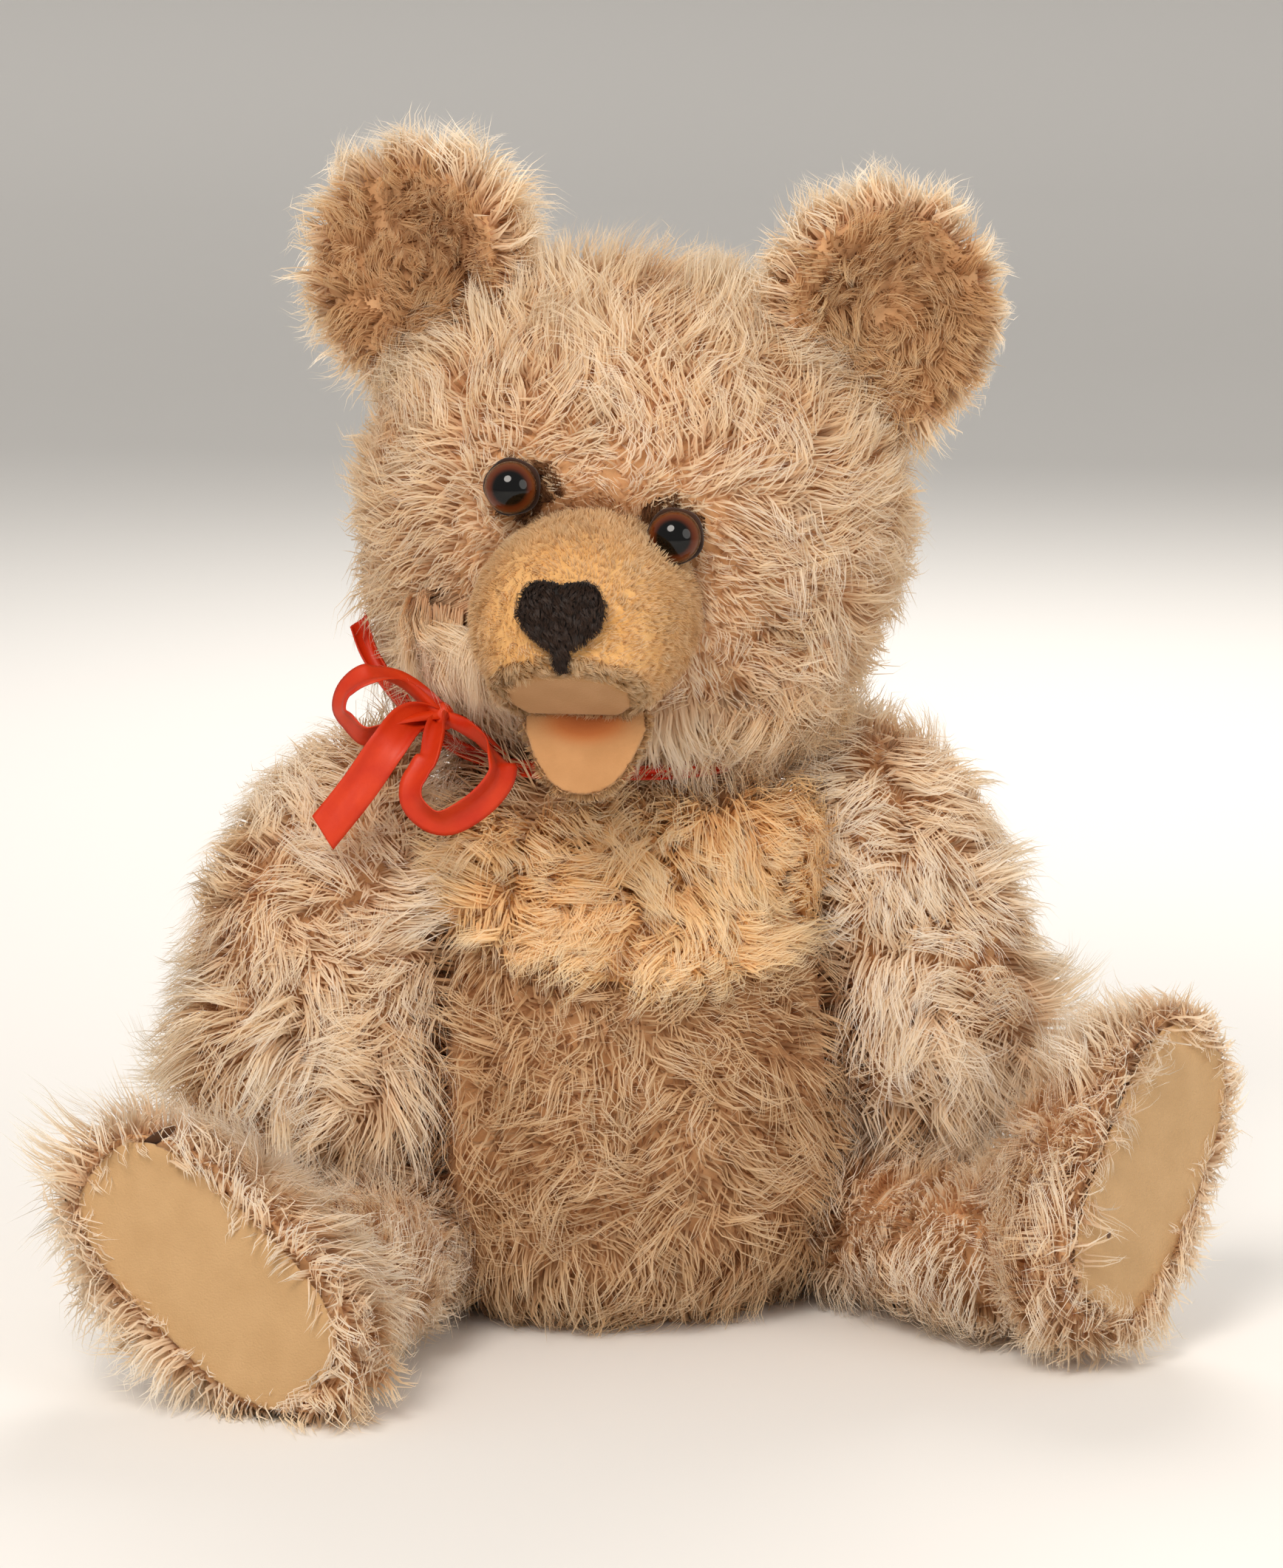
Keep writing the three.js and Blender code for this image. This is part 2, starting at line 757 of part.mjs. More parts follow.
function earBody(side, grow) {
  const rim = earRadius + grow;
  const depth = earThickness / 2 + grow;
  const profile = [
    [0.02, -depth], [0.45, -depth * 0.96], [0.78, -depth * 0.7], [0.96, -depth * 0.1],
    [1.0, depth * 0.4], [0.9, depth], [0.68, depth * 0.75], [0.36, depth - earHollow],
    [0.02, depth - earHollow - 1],
  ];
  const locks = 11;
  const rings = profile.map(([share, height]) => {
    const points = [];
    for (let column = 0; column < locks * 2; column += 1) {
      const angle = (column / (locks * 2)) * Math.PI * 2;
      const crest = column % 2 === 0 ? 0.5 : -0.5;
      const lift = share > 0.3 ? crest * earPile : 0;
      points.push(new THREE.Vector3(
        Math.cos(angle) * (rim * share + lift),
        height,
        Math.sin(angle) * (rim * share + lift),
      ));
    }
    return points;
  });
  const turn = new THREE.Matrix4().makeRotationZ(radians(side * earOutwardTurn));
  const at = new THREE.Matrix4().makeTranslation(side * earSpread, earBack, earUp);
  const faceForward = new THREE.Matrix4().makeRotationX(Math.PI);
  return solid(loft(rings).applyMatrix4(faceForward).applyMatrix4(turn).applyMatrix4(at)
    .applyMatrix4(tilted));
}

const wholeJaw = jawBody(jawRim + touchGap, -jawDepth - touchGap, lining + touchGap, 0.64);
let head = headBody(0).subtract(snoutBody(touchGap)).subtract(neckCut()).subtract(sockets);
head = head.subtract(wholeJaw).subtract(pocket(1));
place(headGroup, "head_coat", largest(head), mohair());

const grownHead = headBody(touchGap);
for (const [name, side] of [["ear_right", -1], ["ear_left", 1]]) {
  place(headGroup, name, largest(earBody(side, 0).subtract(grownHead)), mohair());
}

muzzle = muzzle.subtract(headBody(0).subtract(snoutBody(touchGap)));
place(headGroup, "muzzle", largest(muzzle), clippedMohair());
place(headGroup, "nose", noseBody(), floss());
place(headGroup, "mouth_palate", mouthRoof, felt());
jaw = jaw.subtract(snoutBody(touchGap).subtract(belowPalate(touchGap * 2 + lining)));
place(headGroup, "lower_jaw", largest(jaw), clippedMohair());
place(headGroup, "jaw_lining", largest(jawLining.subtract(mouthRoof)), felt());
place(headGroup, "eye_right", eyeBody(rightEye, 0), glass());
place(headGroup, "eye_left", eyeBody(leftEye, 0), glass());
place(headGroup, "eye_shank_right", shankBody(rightEye), wire());
place(headGroup, "eye_shank_left", shankBody(leftEye), wire());

// Arms: in the shoulder's place, x down the arm, z outwards, y across

function armSection(share, side) {
  const along = -armTop + (armTop + armReach) * share;
  const swell = bulge(share, 2.6);
  const taper = 1 - 0.14 * share;
  const forward = -side * 6 * share ** 2;
  const thick = armThickness * (0.86 + 0.14 * share);
  const inner = (thick / 2 + seatOverlap) * Math.sqrt(swell);
  return {
    centre: new THREE.Vector3(along, forward, thick / 2 - 2),
    across: back,
    along: up,
    wide: [armBreadth * swell * taper, armBreadth * swell * taper],
    high: [(thick / 2 + 2) * swell, inner],
  };
}

function armBody(side, grow) {
  const section = (share) => armSection(share, side);
  return solid(coat({
    section, tiers: 4, locks: 9, pile: armPile, grow, power: 2.5, roundEnds: true, quiet: true,
  }));
}

// The pad lies under the hand, on the side that faces back and down
function pawColumn(side, grow) {
  const prism = cylinder(1, 0, armThickness, 20).scale(pawPadLength / 2 + grow, pawPadWidth / 2 + grow, 1);
  const under = prism.rotateX(side * -Math.PI / 2);
  return solid(under.translate(armReach - pawPadLength * 0.72, side * 4, armThickness / 2));
}

function buildArm(side, word, matrix) {
  const group = groupAt(matrix);
  const keep = solid(halfSpace(1));
  const core = armBody(side, -lining - 2);
  const column = pawColumn(side, touchGap);
  const whole = armBody(side, 0);
  const arm = whole.subtract(column.subtract(core)).intersect(keep).subtract(pocket(1));
  const smooth = armBody(side, -2);
  const pad = pawColumn(side, 0).intersect(smooth).subtract(armBody(side, -lining - 2 + touchGap));
  place(group, `arm_${word}`, largest(arm), mohair());
  place(group, `paw_pad_${word}`, largest(pad), felt());
}

buildArm(-1, "right", joints.shoulder_right);
buildArm(1, "left", joints.shoulder_left);

// Legs: in the hip's place, x along the leg, z outwards; the foot turns up at the end

const legTurn = radians(legSplay - hipTilt);

function legSection(share, side) {
  const along = -thighRadius + (thighRadius + legLength - footDepth / 2) * share;
  const swell = share < 0.2 ? bulge(share * 2.5, 2.6) : bulge(0.5 * share ** 6 + 0.5, 2.6);
  const inner = (thighThickness / 2 + seatOverlap) * Math.sqrt(swell);
  const taper = 1 - (1 - ankleShare) * THREE.MathUtils.smoothstep(share, 0.2, 0.85);
  const drift = Math.max(along, 0) * Math.tan(legTurn);
  return {
    centre: new THREE.Vector3(along, 0, thighThickness / 2 - 2 + drift),
    across: back,
    along: up,
    wide: [thighRadius * swell * taper, thighRadius * swell * taper],
    high: [(thighThickness / 2 + 2) * swell * taper, inner * taper],
  };
}

// The foot's place in the bear: z out of the sole, x towards the toes
function footFrame(side) {
  const spread = radians(legSplay);
  const splay = radians(footSplay);
  const roll = radians(side < 0 ? rightFootRoll : leftFootRoll);
  const lean = radians(footLeanBack);
  const hip = new THREE.Vector3(side * Math.cos(radians(hipTilt)), Math.sin(radians(hipTilt)), 0);
  const ankle = new THREE.Vector3(side * Math.sin(spread), -Math.cos(spread), 0);
  const ahead = new THREE.Vector3(side * Math.sin(splay), -Math.cos(splay), 0);
  const outward = new THREE.Vector3(side * Math.cos(splay), Math.sin(splay), 0);
  const centre = new THREE.Vector3(side * hipAcross, -hipBack, side < 0 ? rightFootUp : leftFootUp)
    .addScaledVector(hip, thighThickness / 2)
    .addScaledVector(ankle, legLength)
    .addScaledVector(outward, footOutward);
  const normal = ahead.clone().multiplyScalar(Math.cos(lean)).addScaledVector(up, Math.sin(lean));
  const toes = up.clone().multiplyScalar(Math.cos(roll)).addScaledVector(outward, Math.sin(roll));
  return frameOf(centre, normal, toes);
}

function footSection(share, grow) {
  const slope = 1 - 0.45 * THREE.MathUtils.smoothstep(share, 0.3, 1);
  const end = share > 0.9 ? 0.75 : 1;
  return {
    centre: new THREE.Vector3(-8 * share, 0, grow - (footDepth + grow) * share),
    across: right,
    along: back,
    wide: [footHalfLength * slope * end, footHalfLength * slope * end],
    high: [footHalfWidth * slope * end, footHalfWidth * slope * end],
  };
}

function soleColumn(grow, low, high) {
  const section = (share) => ({
    centre: new THREE.Vector3(0, 0, low + (high - low) * share),
    across: right,
    along: back,
    wide: [solePadHalfLength + grow, solePadHalfLength + grow],
    high: [solePadHalfWidth + grow, solePadHalfWidth + grow],
  });
  return solid(coat({ section, tiers: 0.25, locks: 13, pile: 0, power: solePadSquareness }));
}

function buildLeg(side, word, matrix) {
  const group = groupAt(matrix);
  const toLocal = matrix.clone().invert().multiply(footFrame(side));
  const shank = solid(coat({
    section: (share) => legSection(share, side),
    tiers: 4,
    locks: 9,
    pile: legPile,
    power: 2.3,
    quiet: true,
  }));
  const foot = solid(coat({
    section: (share) => footSection(share, 0), tiers: 2, locks: 11, pile: legPile, power: 2.5,
  }).applyMatrix4(toLocal));
  const floor = solid(halfSpace(-1).translate(0, 0, jointGap / 2));
  const below = transformed(floor, matrix.clone().invert());
  const aheadOfSole = transformed(solid(halfSpace(1).translate(0, 0, -jointGap / 2)), toLocal);
  const recess = transformed(soleColumn(touchGap, -soleRecess, 20), toLocal);
  let leg = shank.subtract(aheadOfSole).add(foot).subtract(recess);
  leg = leg.intersect(solid(halfSpace(1))).subtract(pocket(1)).subtract(below);
  const padSeat = -soleRecess + touchGap;
  const pad = transformed(soleColumn(0, padSeat, padSeat + lining), toLocal);
  if (side < 0) {
    const slit = new THREE.BoxGeometry(seamOpeningWidth, seamOpeningLength, 14);
    slit.translate(solePadHalfLength + seamOpeningWidth / 2, 0, 0);
    leg = leg.subtract(solid(slit.applyMatrix4(toLocal)));
  }
  place(group, `leg_${word}`, largest(leg), mohair());
  place(group, `foot_pad_${word}`, pad, felt());
}

buildLeg(-1, "right", joints.hip_right);
buildLeg(1, "left", joints.hip_left);

// Ribbon: a gathered collar in the crease of the neck, its bow hanging over the right shoulder

function strip(points, widths, facing, thickness) {
  const curve = new THREE.CatmullRomCurve3(points.map((p) => new THREE.Vector3(...p)));
  const steps = Math.round(points.length * 1.6);
  const rings = [];
  for (let i = 0; i <= steps; i += 1) {
    const share = i / steps;
    const centre = curve.getPoint(share);
    const ahead = curve.getTangent(share);
    const along = share * (widths.length - 1);
    const low = Math.min(Math.floor(along), widths.length - 2);
    const width = THREE.MathUtils.lerp(widths[low], widths[low + 1], along - low);
    const across = new THREE.Vector3().crossVectors(ahead, facing).normalize();
    const normal = new THREE.Vector3().crossVectors(across, ahead).normalize();
    const corner = (u, v) => centre.clone()
      .addScaledVector(across, (u * width) / 2)
      .addScaledVector(normal, (v * thickness) / 2);
    rings.push([corner(1, 1), corner(-1, 1), corner(-1, -1), corner(1, -1)]);
  }
  return solid(loft(rings));
}

const atNeck = new THREE.Matrix4().makeTranslation(0, 0, torsoHeight);
const toViewer = new THREE.Vector3(-0.21, -0.96, 0.17);
// Points of the bow, their heights counted from the neck
const knotAt = [-64, -57, 20];
const leftLoop = [
  knotAt, [-74.6, -52, 29], [-84.5, -48, 32], [-91.6, -46, 28], [-93.9, -46, 22],
  [-91.3, -47, 18], [-86.6, -50, 14], [-79.9, -54, 16], knotAt,
];
const rightLoop = [
  knotAt, [-66.3, -62, 18], [-68.5, -66, 11], [-72.2, -68, 6], [-75.4, -70, 1],
  [-75, -72, -4], [-70, -74, -8.5], [-64.3, -76, -8], [-56, -79, -2], [-50.5, -79, 5],
  [-50.5, -76, 10], [-55, -68, 15], knotAt,
];
const broadTail = [knotAt, [-74, -59, 19], [-81, -58, 12], [-90, -57, -1], [-100, -55, -14]];
const strayTail = [[-40.5, -23.6, -1], [-55, -33, 7], [-70, -31, 19], [-81, -25, 34], [-85, -22, 42]];
const collarFront = [[-28.2, -37.6, -1], [-46, -46, 9], knotAt];

function collar() {
  const low = -collarDrop - collarBand / 2;
  return ring(collarRadius, collarRadius + collarThickness, low, low + collarBand, 28);
}

function knot() {
  const ball = new THREE.IcosahedronGeometry(knotRadius, 1);
  return solid(ball.translate(...knotAt));
}

const ribbonPieces = [
  strip(leftLoop, [4, ribbonWidth * 0.5, ribbonWidth * 0.5, 4], up, ribbonThickness),
  strip(rightLoop, [4, ribbonWidth * 0.5, ribbonWidth * 0.5, 4], up, ribbonThickness),
  strip(broadTail, [5, ribbonWidth, ribbonWidth, ribbonWidth, ribbonWidth * 0.8], toViewer,
    ribbonThickness),
  strip(strayTail, [4, ribbonWidth * 0.7, 5], toViewer, ribbonThickness),
  strip(collarFront, [collarBand, 6, 4], toViewer, collarThickness),
];
const ribbon = ribbonPieces.reduce((whole, piece) => whole.add(piece), collar().add(knot()));
place(groupAt(atNeck), "neck_ribbon", largest(ribbon), satin());

export default bear;
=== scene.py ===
# %% [markdown]
# # A seated teddy bear of long-pile mohair
# The bear is a firm stuffed body, with pile 20 to 25 mm long standing on it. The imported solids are
# the frame: they reach about to the middle of the pile. Each coat is made here in two pieces, the
# stuffed skin and the pile that grows on it, and both ride on the body that they belong to.

# %% Load the frame
import json
import math

import bmesh
import bpy
import numpy as np
from mathutils import Matrix, Vector, kdtree
from mathutils.bvhtree import BVHTree


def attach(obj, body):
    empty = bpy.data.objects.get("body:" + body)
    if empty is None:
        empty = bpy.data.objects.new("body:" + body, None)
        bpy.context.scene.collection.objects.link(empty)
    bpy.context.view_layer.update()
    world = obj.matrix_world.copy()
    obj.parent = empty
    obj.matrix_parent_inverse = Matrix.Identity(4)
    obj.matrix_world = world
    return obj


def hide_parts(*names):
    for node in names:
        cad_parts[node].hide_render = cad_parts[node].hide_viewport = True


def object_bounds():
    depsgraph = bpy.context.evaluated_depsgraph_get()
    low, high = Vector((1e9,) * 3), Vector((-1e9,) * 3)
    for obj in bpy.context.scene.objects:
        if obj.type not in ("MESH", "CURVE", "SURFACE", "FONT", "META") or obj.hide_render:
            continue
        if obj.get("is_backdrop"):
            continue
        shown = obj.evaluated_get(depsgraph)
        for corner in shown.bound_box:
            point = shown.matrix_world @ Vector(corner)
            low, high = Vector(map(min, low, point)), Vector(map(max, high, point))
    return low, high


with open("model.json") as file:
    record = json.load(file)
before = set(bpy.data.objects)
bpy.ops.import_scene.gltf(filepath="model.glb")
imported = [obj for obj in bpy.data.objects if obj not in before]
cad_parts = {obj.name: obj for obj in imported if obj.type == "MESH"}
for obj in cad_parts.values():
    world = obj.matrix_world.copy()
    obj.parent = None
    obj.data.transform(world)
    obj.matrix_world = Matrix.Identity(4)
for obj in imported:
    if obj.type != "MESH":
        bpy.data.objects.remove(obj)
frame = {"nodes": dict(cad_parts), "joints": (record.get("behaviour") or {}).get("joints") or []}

MM = 0.001
CAD_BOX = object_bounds()
CAD = frame["nodes"]

# %% [markdown]
# ## Camera
# The photograph was taken from a little above, and a little to the bear's right, with a long
# lens. The distance and the angle come from how large the near feet are beside the far ears.

# %% Camera
CAMERA_TURN = math.radians(-12)
CAMERA_RISE = math.radians(10)
CAMERA_DISTANCE = 1.8
FOCAL_PIXELS = 7660
IMAGE_WIDTH = 1736
TARGET = Vector((9.7, -2.1, 165)) * MM

to_camera = Vector((
    math.sin(CAMERA_TURN) * math.cos(CAMERA_RISE),
    -math.cos(CAMERA_TURN) * math.cos(CAMERA_RISE),
    math.sin(CAMERA_RISE),
))
camera_data = bpy.data.cameras.new("photo_camera")
camera_data.sensor_fit = "HORIZONTAL"
camera_data.sensor_width = 36
camera_data.lens = 36 * FOCAL_PIXELS / IMAGE_WIDTH
camera_data.clip_end = 20
camera = bpy.data.objects.new("photo_camera", camera_data)
camera.location = TARGET + to_camera * CAMERA_DISTANCE
camera.rotation_euler = to_camera.to_track_quat("Z", "Y").to_euler()
bpy.context.scene.collection.objects.link(camera)
bpy.context.scene.camera = camera
print("camera at", tuple(round(v, 3) for v in camera.location))

# %% [markdown]
# ## Light, floor and colours
# A large soft lamp stands high on the left, as the highlights in the eyes show. A weaker one fills
# the shadows, and one behind lights the edges of the pile. The floor is a pale sweep without an
# edge. Colours are written as sRGB hex values, and one function turns them to linear light.

# %% Stage
def linear(code, alpha=1.0):
    """A colour in linear light from its sRGB hex value."""
    values = [int(code[i:i + 2], 16) / 255 for i in (1, 3, 5)]
    light = [((v + 0.055) / 1.055) ** 2.4 if v > 0.04045 else v / 12.92 for v in values]
    return (*light, alpha)


def area_lamp(name, place, size, power, color):
    data = bpy.data.lights.new(name, "AREA")
    data.shape = "DISK"
    data.size = size
    data.energy = power
    data.color = linear(color)[:3]
    lamp = bpy.data.objects.new(name, data)
    lamp.location = place
    lamp.rotation_euler = (Vector(place) - TARGET).to_track_quat("Z", "Y").to_euler()
    bpy.context.scene.collection.objects.link(lamp)


area_lamp("key_lamp", (-0.72, -1.3, 1.4), 0.8, 25, "#fff7ee")
area_lamp("fill_lamp", (1.1, -1.6, 0.8), 1.2, 10, "#f8f5f0")
area_lamp("rim_lamp", (0.5, 1.3, 1.2), 0.9, 16, "#fffaf4")

world = bpy.data.worlds.new("soft_room")
world.use_nodes = True
world.node_tree.nodes["Background"].inputs["Color"].default_value = linear("#f1eeea")
world.node_tree.nodes["Background"].inputs["Strength"].default_value = 0.58
bpy.context.scene.world = world
bpy.context.scene.view_settings.view_transform = "Standard"


# %% Small helpers for materials
def add_node(tree, kind, inputs=None, links=None, **settings):
    """Adds a shader node, sets its sockets and its settings, and links other nodes' outputs in."""
    made = tree.nodes.new(kind)
    for key, value in settings.items():
        setattr(made, key, value)
    for key, value in (inputs or {}).items():
        made.inputs[key].default_value = value
    for key, socket in (links or {}).items():
        tree.links.new(socket, made.inputs[key])
    return made


def new_material(name, **sockets):
    material = bpy.data.materials.new(name)
    material.use_nodes = True
    shader = material.node_tree.nodes["Principled BSDF"]
    for key, value in sockets.items():
        shader.inputs[key.replace("_", " ")].default_value = value
    return material, material.node_tree, shader


def mix_colors(tree, share, first, second):
    """Mixes two colours. The Mix node keeps its colour sockets at places 6 and 7, and gives 2."""
    mix = add_node(tree, "ShaderNodeMix", links={0: share, 6: first, 7: second}, data_type="RGBA")
    return mix.outputs[2]


def color_ramp(tree, source, stops):
    ramp = add_node(tree, "ShaderNodeValToRGB", links={"Fac": source})
    elements = ramp.color_ramp.elements
    while len(elements) < len(stops):
        elements.new(0.5)
    for element, (place, code) in zip(elements, stops):
        element.position = place
        element.color = linear(code)
    return ramp.outputs["Color"]


def noise(tree, place, scale, detail):
    """Noise that is fixed to the object, so it rides along with the body."""
    made = add_node(tree, "ShaderNodeTexNoise", {"Scale": scale, "Detail": detail},
                    {"Vector": place.outputs["Object"]})
    return made.outputs["Fac"]


def add_relief(tree, shader, height, strength, distance):
    relief = add_node(tree, "ShaderNodeBump", {"Strength": strength, "Distance": distance},
                      {"Height": height})
    tree.links.new(relief.outputs["Normal"], shader.inputs["Normal"])


# %% Floor
FLOOR_WIDTH, FLOOR_DEPTH, FLOOR_NEAR, WALL_HEIGHT = 14, 7, -3, 5
FLOOR_SHARE, RISE_FROM = 0.7, 0.62


def make_floor():
    bpy.ops.object.select_all(action="DESELECT")
    bpy.ops.mesh.primitive_grid_add(x_subdivisions=2, y_subdivisions=24, size=1)
    floor = bpy.context.object
    floor.name = "floor_sweep"
    for vertex in floor.data.vertices:
        along = vertex.co.y + 0.5
        vertex.co.x *= FLOOR_WIDTH
        vertex.co.y = FLOOR_NEAR + FLOOR_DEPTH * min(along / FLOOR_SHARE, 1)
        vertex.co.z = WALL_HEIGHT * max(0.0, (along - RISE_FROM) / (1 - RISE_FROM)) ** 2
    material, tree, shader = new_material("painted_board_backdrop", Roughness=0.9)
    speckle = add_node(tree, "ShaderNodeTexNoise", {"Scale": 3.0, "Detail": 3.0})
    shade = color_ramp(tree, speckle.outputs["Fac"], [(0.3, "#e9e7e4"), (0.7, "#edebe8")])
    tree.links.new(shade, shader.inputs["Base Color"])
    floor.data.materials.append(material)
    floor.data.shade_smooth()
    floor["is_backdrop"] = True


make_floor()

# %% [markdown]
# ## Mohair
# Mohair is the hair of the Angora goat, woven into a ground cloth and left standing as pile. Each
# hair is tan near the cloth, where dye and dust stay, and cream at its tip. It is matt with a
# little sheen. The pile's own map says where a point lies: across it the tone of its lock, and
# upwards how far it is from root to tip, so the colour follows the hair and not the object.

# %% Pile materials
BAKE_MAP = "OFBake"


def pile_material(name, warm, pale, roughness=0.7, through=0.55):
    """Two sets of colours from root to tip, mixed by the tone of each lock.

    A hair lets light through, so a share of what falls on its far side shows on the near one.
    """
    material, tree, shader = new_material(name, Roughness=roughness, Sheen_Weight=0.1,
                                          Sheen_Roughness=0.5, Specular_IOR_Level=0.2)
    where = add_node(tree, "ShaderNodeUVMap", uv_map=BAKE_MAP)
    parts = add_node(tree, "ShaderNodeSeparateXYZ", links={"Vector": where.outputs["UV"]})
    color = mix_colors(tree, parts.outputs["X"], color_ramp(tree, parts.outputs["Y"], warm),
                       color_ramp(tree, parts.outputs["Y"], pale))
    tree.links.new(color, shader.inputs["Base Color"])
    glow = add_node(tree, "ShaderNodeBsdfTranslucent", links={"Color": color})
    both = add_node(tree, "ShaderNodeMixShader", {0: through},
                    {1: shader.outputs["BSDF"], 2: glow.outputs["BSDF"]})
    tree.links.new(both.outputs["Shader"], tree.nodes["Material Output"].inputs["Surface"])
    return material


def cloth_material(name, dark, light, thread=0.0009, roughness=0.9, bump=0.3, sheen=0.2):
    """Ground cloth or felt: a mottle 20 times the thread, and a bump at the size of the thread."""
    material, tree, shader = new_material(name, Roughness=roughness, Sheen_Weight=sheen,
                                          Specular_IOR_Level=0.2)
    place = add_node(tree, "ShaderNodeTexCoord")
    mottle = noise(tree, place, 0.05 / thread, 6.0)
    color = color_ramp(tree, mottle, [(0.3, dark), (0.7, light)])
    tree.links.new(color, shader.inputs["Base Color"])
    add_relief(tree, shader, noise(tree, place, 1 / thread, 3.0), bump, 0.0006)
    return material


MOHAIR = pile_material(
    "woven_mohair_long_pile",
    [(0.0, "#cf9c70"), (0.22, "#e8c096"), (0.5, "#f7dfba"), (0.85, "#fef1da")],
    [(0.0, "#dcb088"), (0.22, "#f3d8b6"), (0.5, "#fef0da"), (0.85, "#fffbf2")],
)
# A darker copy of the long pile, for the torso: painted shade of the belly under the arms and head.
SHADED_BODY_MOHAIR = pile_material(
    "woven_mohair_body_pile_painted_shade",
    [(0.0, "#a97650"), (0.22, "#c99b70"), (0.5, "#e2c094"), (0.85, "#f2dcb8")],
    [(0.0, "#bb8d66"), (0.22, "#dbb68c"), (0.5, "#eed4ae"), (0.85, "#f9e9d0")],
)
EAR_MOHAIR = pile_material(
    "woven_mohair_worn_in_the_ear",
    [(0.0, "#8a603c"), (0.3, "#b8875a"), (0.7, "#d9ad7c"), (1.0, "#ecd0a8")],
    [(0.0, "#a97c50"), (0.3, "#d2a778"), (0.7, "#ecd0a4"), (1.0, "#f7e8ca")],
)
# The chest panel's pile is golden mohair, and its colours are also lightened nearly to white:
# painted light against the shadow of the head and jaw.
GOLDEN_MOHAIR_WITH_PAINTED_LIGHT = pile_material(
    "woven_golden_mohair_pile_with_painted_light",
    [(0.0, "#e0a668"), (0.22, "#f4c488"), (0.5, "#fddaa2"), (0.85, "#ffe9c2")],
    [(0.0, "#eab47a"), (0.22, "#f9d29a"), (0.5, "#ffe3b2"), (0.85, "#fff2d6")],
)
CLIPPED_MOHAIR = pile_material(
    "woven_mohair_clipped_short",
    [(0.0, "#cfa26c"), (0.5, "#e2bc88"), (1.0, "#efd0a2")],
    [(0.0, "#dab482"), (0.5, "#efd2a6"), (1.0, "#f9e9cc")],
)
LIP_MOHAIR = pile_material(
    "woven_mohair_matted_at_the_lip",
    [(0.0, "#9a7044"), (0.5, "#c99f6c"), (1.0, "#e8cfa4")],
    [(0.0, "#b98d5c"), (0.5, "#e2c192"), (1.0, "#f9ecd4")],
)
FLOSS = pile_material(
    "embroidery_floss_black_brown",
    [(0.0, "#120b07"), (0.5, "#1d120c"), (1.0, "#2e1e14")],
    [(0.0, "#1a100a"), (0.5, "#2c1b11"), (1.0, "#4a3323")],
    roughness=0.5,
    through=0.1,
)
GROUND_CLOTH = cloth_material("woven_ground_cloth", "#b48458", "#d6aa7e", 0.0008)
GOLDEN_GROUND = cloth_material("woven_golden_ground_cloth", "#d8a664", "#eac084", 0.0008)
CLIPPED_GROUND = cloth_material("woven_clipped_ground_cloth", "#cf9c5c", "#deb074", 0.0006)
LIP_GROUND = cloth_material("woven_matted_ground_cloth", "#a98052", "#c0966a", 0.0006)
print("pile materials:", len([m for m in bpy.data.materials if "mohair" in m.name]))

# %% [markdown]
# ## Stuffed skins
# A stuffed coat is smooth and full, with its seams pulled in. The CAD coat carries low locks in
# place of pile, so a merged copy of it is remeshed evenly, cleared of the pockets that its joint
# discs lie in, smoothed, and drawn in by a few millimetres to where the ground cloth lies. The
# cloth stays at its place beside a joint, where body and limb are pressed together.

# %% Places of the joints and of the head
HEAD = Matrix.Translation(Vector((0, 0, 178)) * MM) @ Matrix.Rotation(math.radians(-20), 4, "Z")
HEAD_TILT = Matrix.Rotation(math.radians(5), 4, "Y")
JOINTS = {j["name"]: (np.array(j["pos_m"]), np.array(j["axis"])) for j in frame["joints"]}


def seat_planes():
    """Each joint's point and the direction out of the body, as the joint's axis or its opposite."""
    planes = []
    for point, axis in JOINTS.values():
        outward = axis if axis @ (point - np.array([0, 0, 0.1])) > 0 else -axis
        planes.append((point, outward / np.linalg.norm(outward)))
    return planes


SEATS = seat_planes()


def from_head(x, y, z):
    """A point given in millimetres in the head's place, in the row frame."""
    return np.array(HEAD @ (Vector((x, y, z)) * MM))


def arrays(obj):
    """Vertex places, vertex normals and triangles of a mesh."""
    mesh = obj.data
    mesh.calc_loop_triangles()
    places = np.empty(len(mesh.vertices) * 3)
    mesh.vertices.foreach_get("co", places)
    normals = np.empty(len(mesh.vertices) * 3)
    mesh.vertices.foreach_get("normal", normals)
    triangles = np.empty(len(mesh.loop_triangles) * 3, dtype=np.int64)
    mesh.loop_triangles.foreach_get("vertices", triangles)
    return places.reshape(-1, 3), normals.reshape(-1, 3), triangles.reshape(-1, 3)


def node_points(node_name):
    """The vertex places of a CAD node."""
    return np.array([v.co[:] for v in CAD[node_name].data.vertices])


def surface_of(obj):
    """A search tree over an object's faces."""
    return BVHTree.FromObject(obj, bpy.context.evaluated_depsgraph_get())


def link_mesh(name, mesh):
    obj = bpy.data.objects.new(name, mesh)
    bpy.context.scene.collection.objects.link(obj)
    return obj


def add_modifier(obj, kind, **settings):
    made = obj.modifiers.new(kind.lower(), kind)
    for key, value in settings.items():
        setattr(made, key, value)


def place_vertices(obj, places):
    obj.data.vertices.foreach_set("co", np.ascontiguousarray(places, dtype=np.float32).ravel())
    obj.data.update()


def new_ball(name, segments, rings, radius):
    """A ball to shape further, and its vertex places."""
    bpy.ops.object.select_all(action="DESELECT")
    bpy.ops.mesh.primitive_uv_sphere_add(segments=segments, ring_count=rings, radius=radius)
    obj = bpy.context.object
    obj.name = name
    return obj, arrays(obj)[0]


def finish_piece(obj, material, body, replaced=None):
    """Shades a piece smooth, gives it its material and body, and hides the CAD node it replaces."""
    obj.data.shade_smooth()
    obj.data.materials.append(material)
    if replaced:
        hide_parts(replaced)
    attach(obj, body)


def unit(vectors):
    return vectors / np.maximum(np.linalg.norm(vectors, axis=-1, keepdims=True), 1e-9)


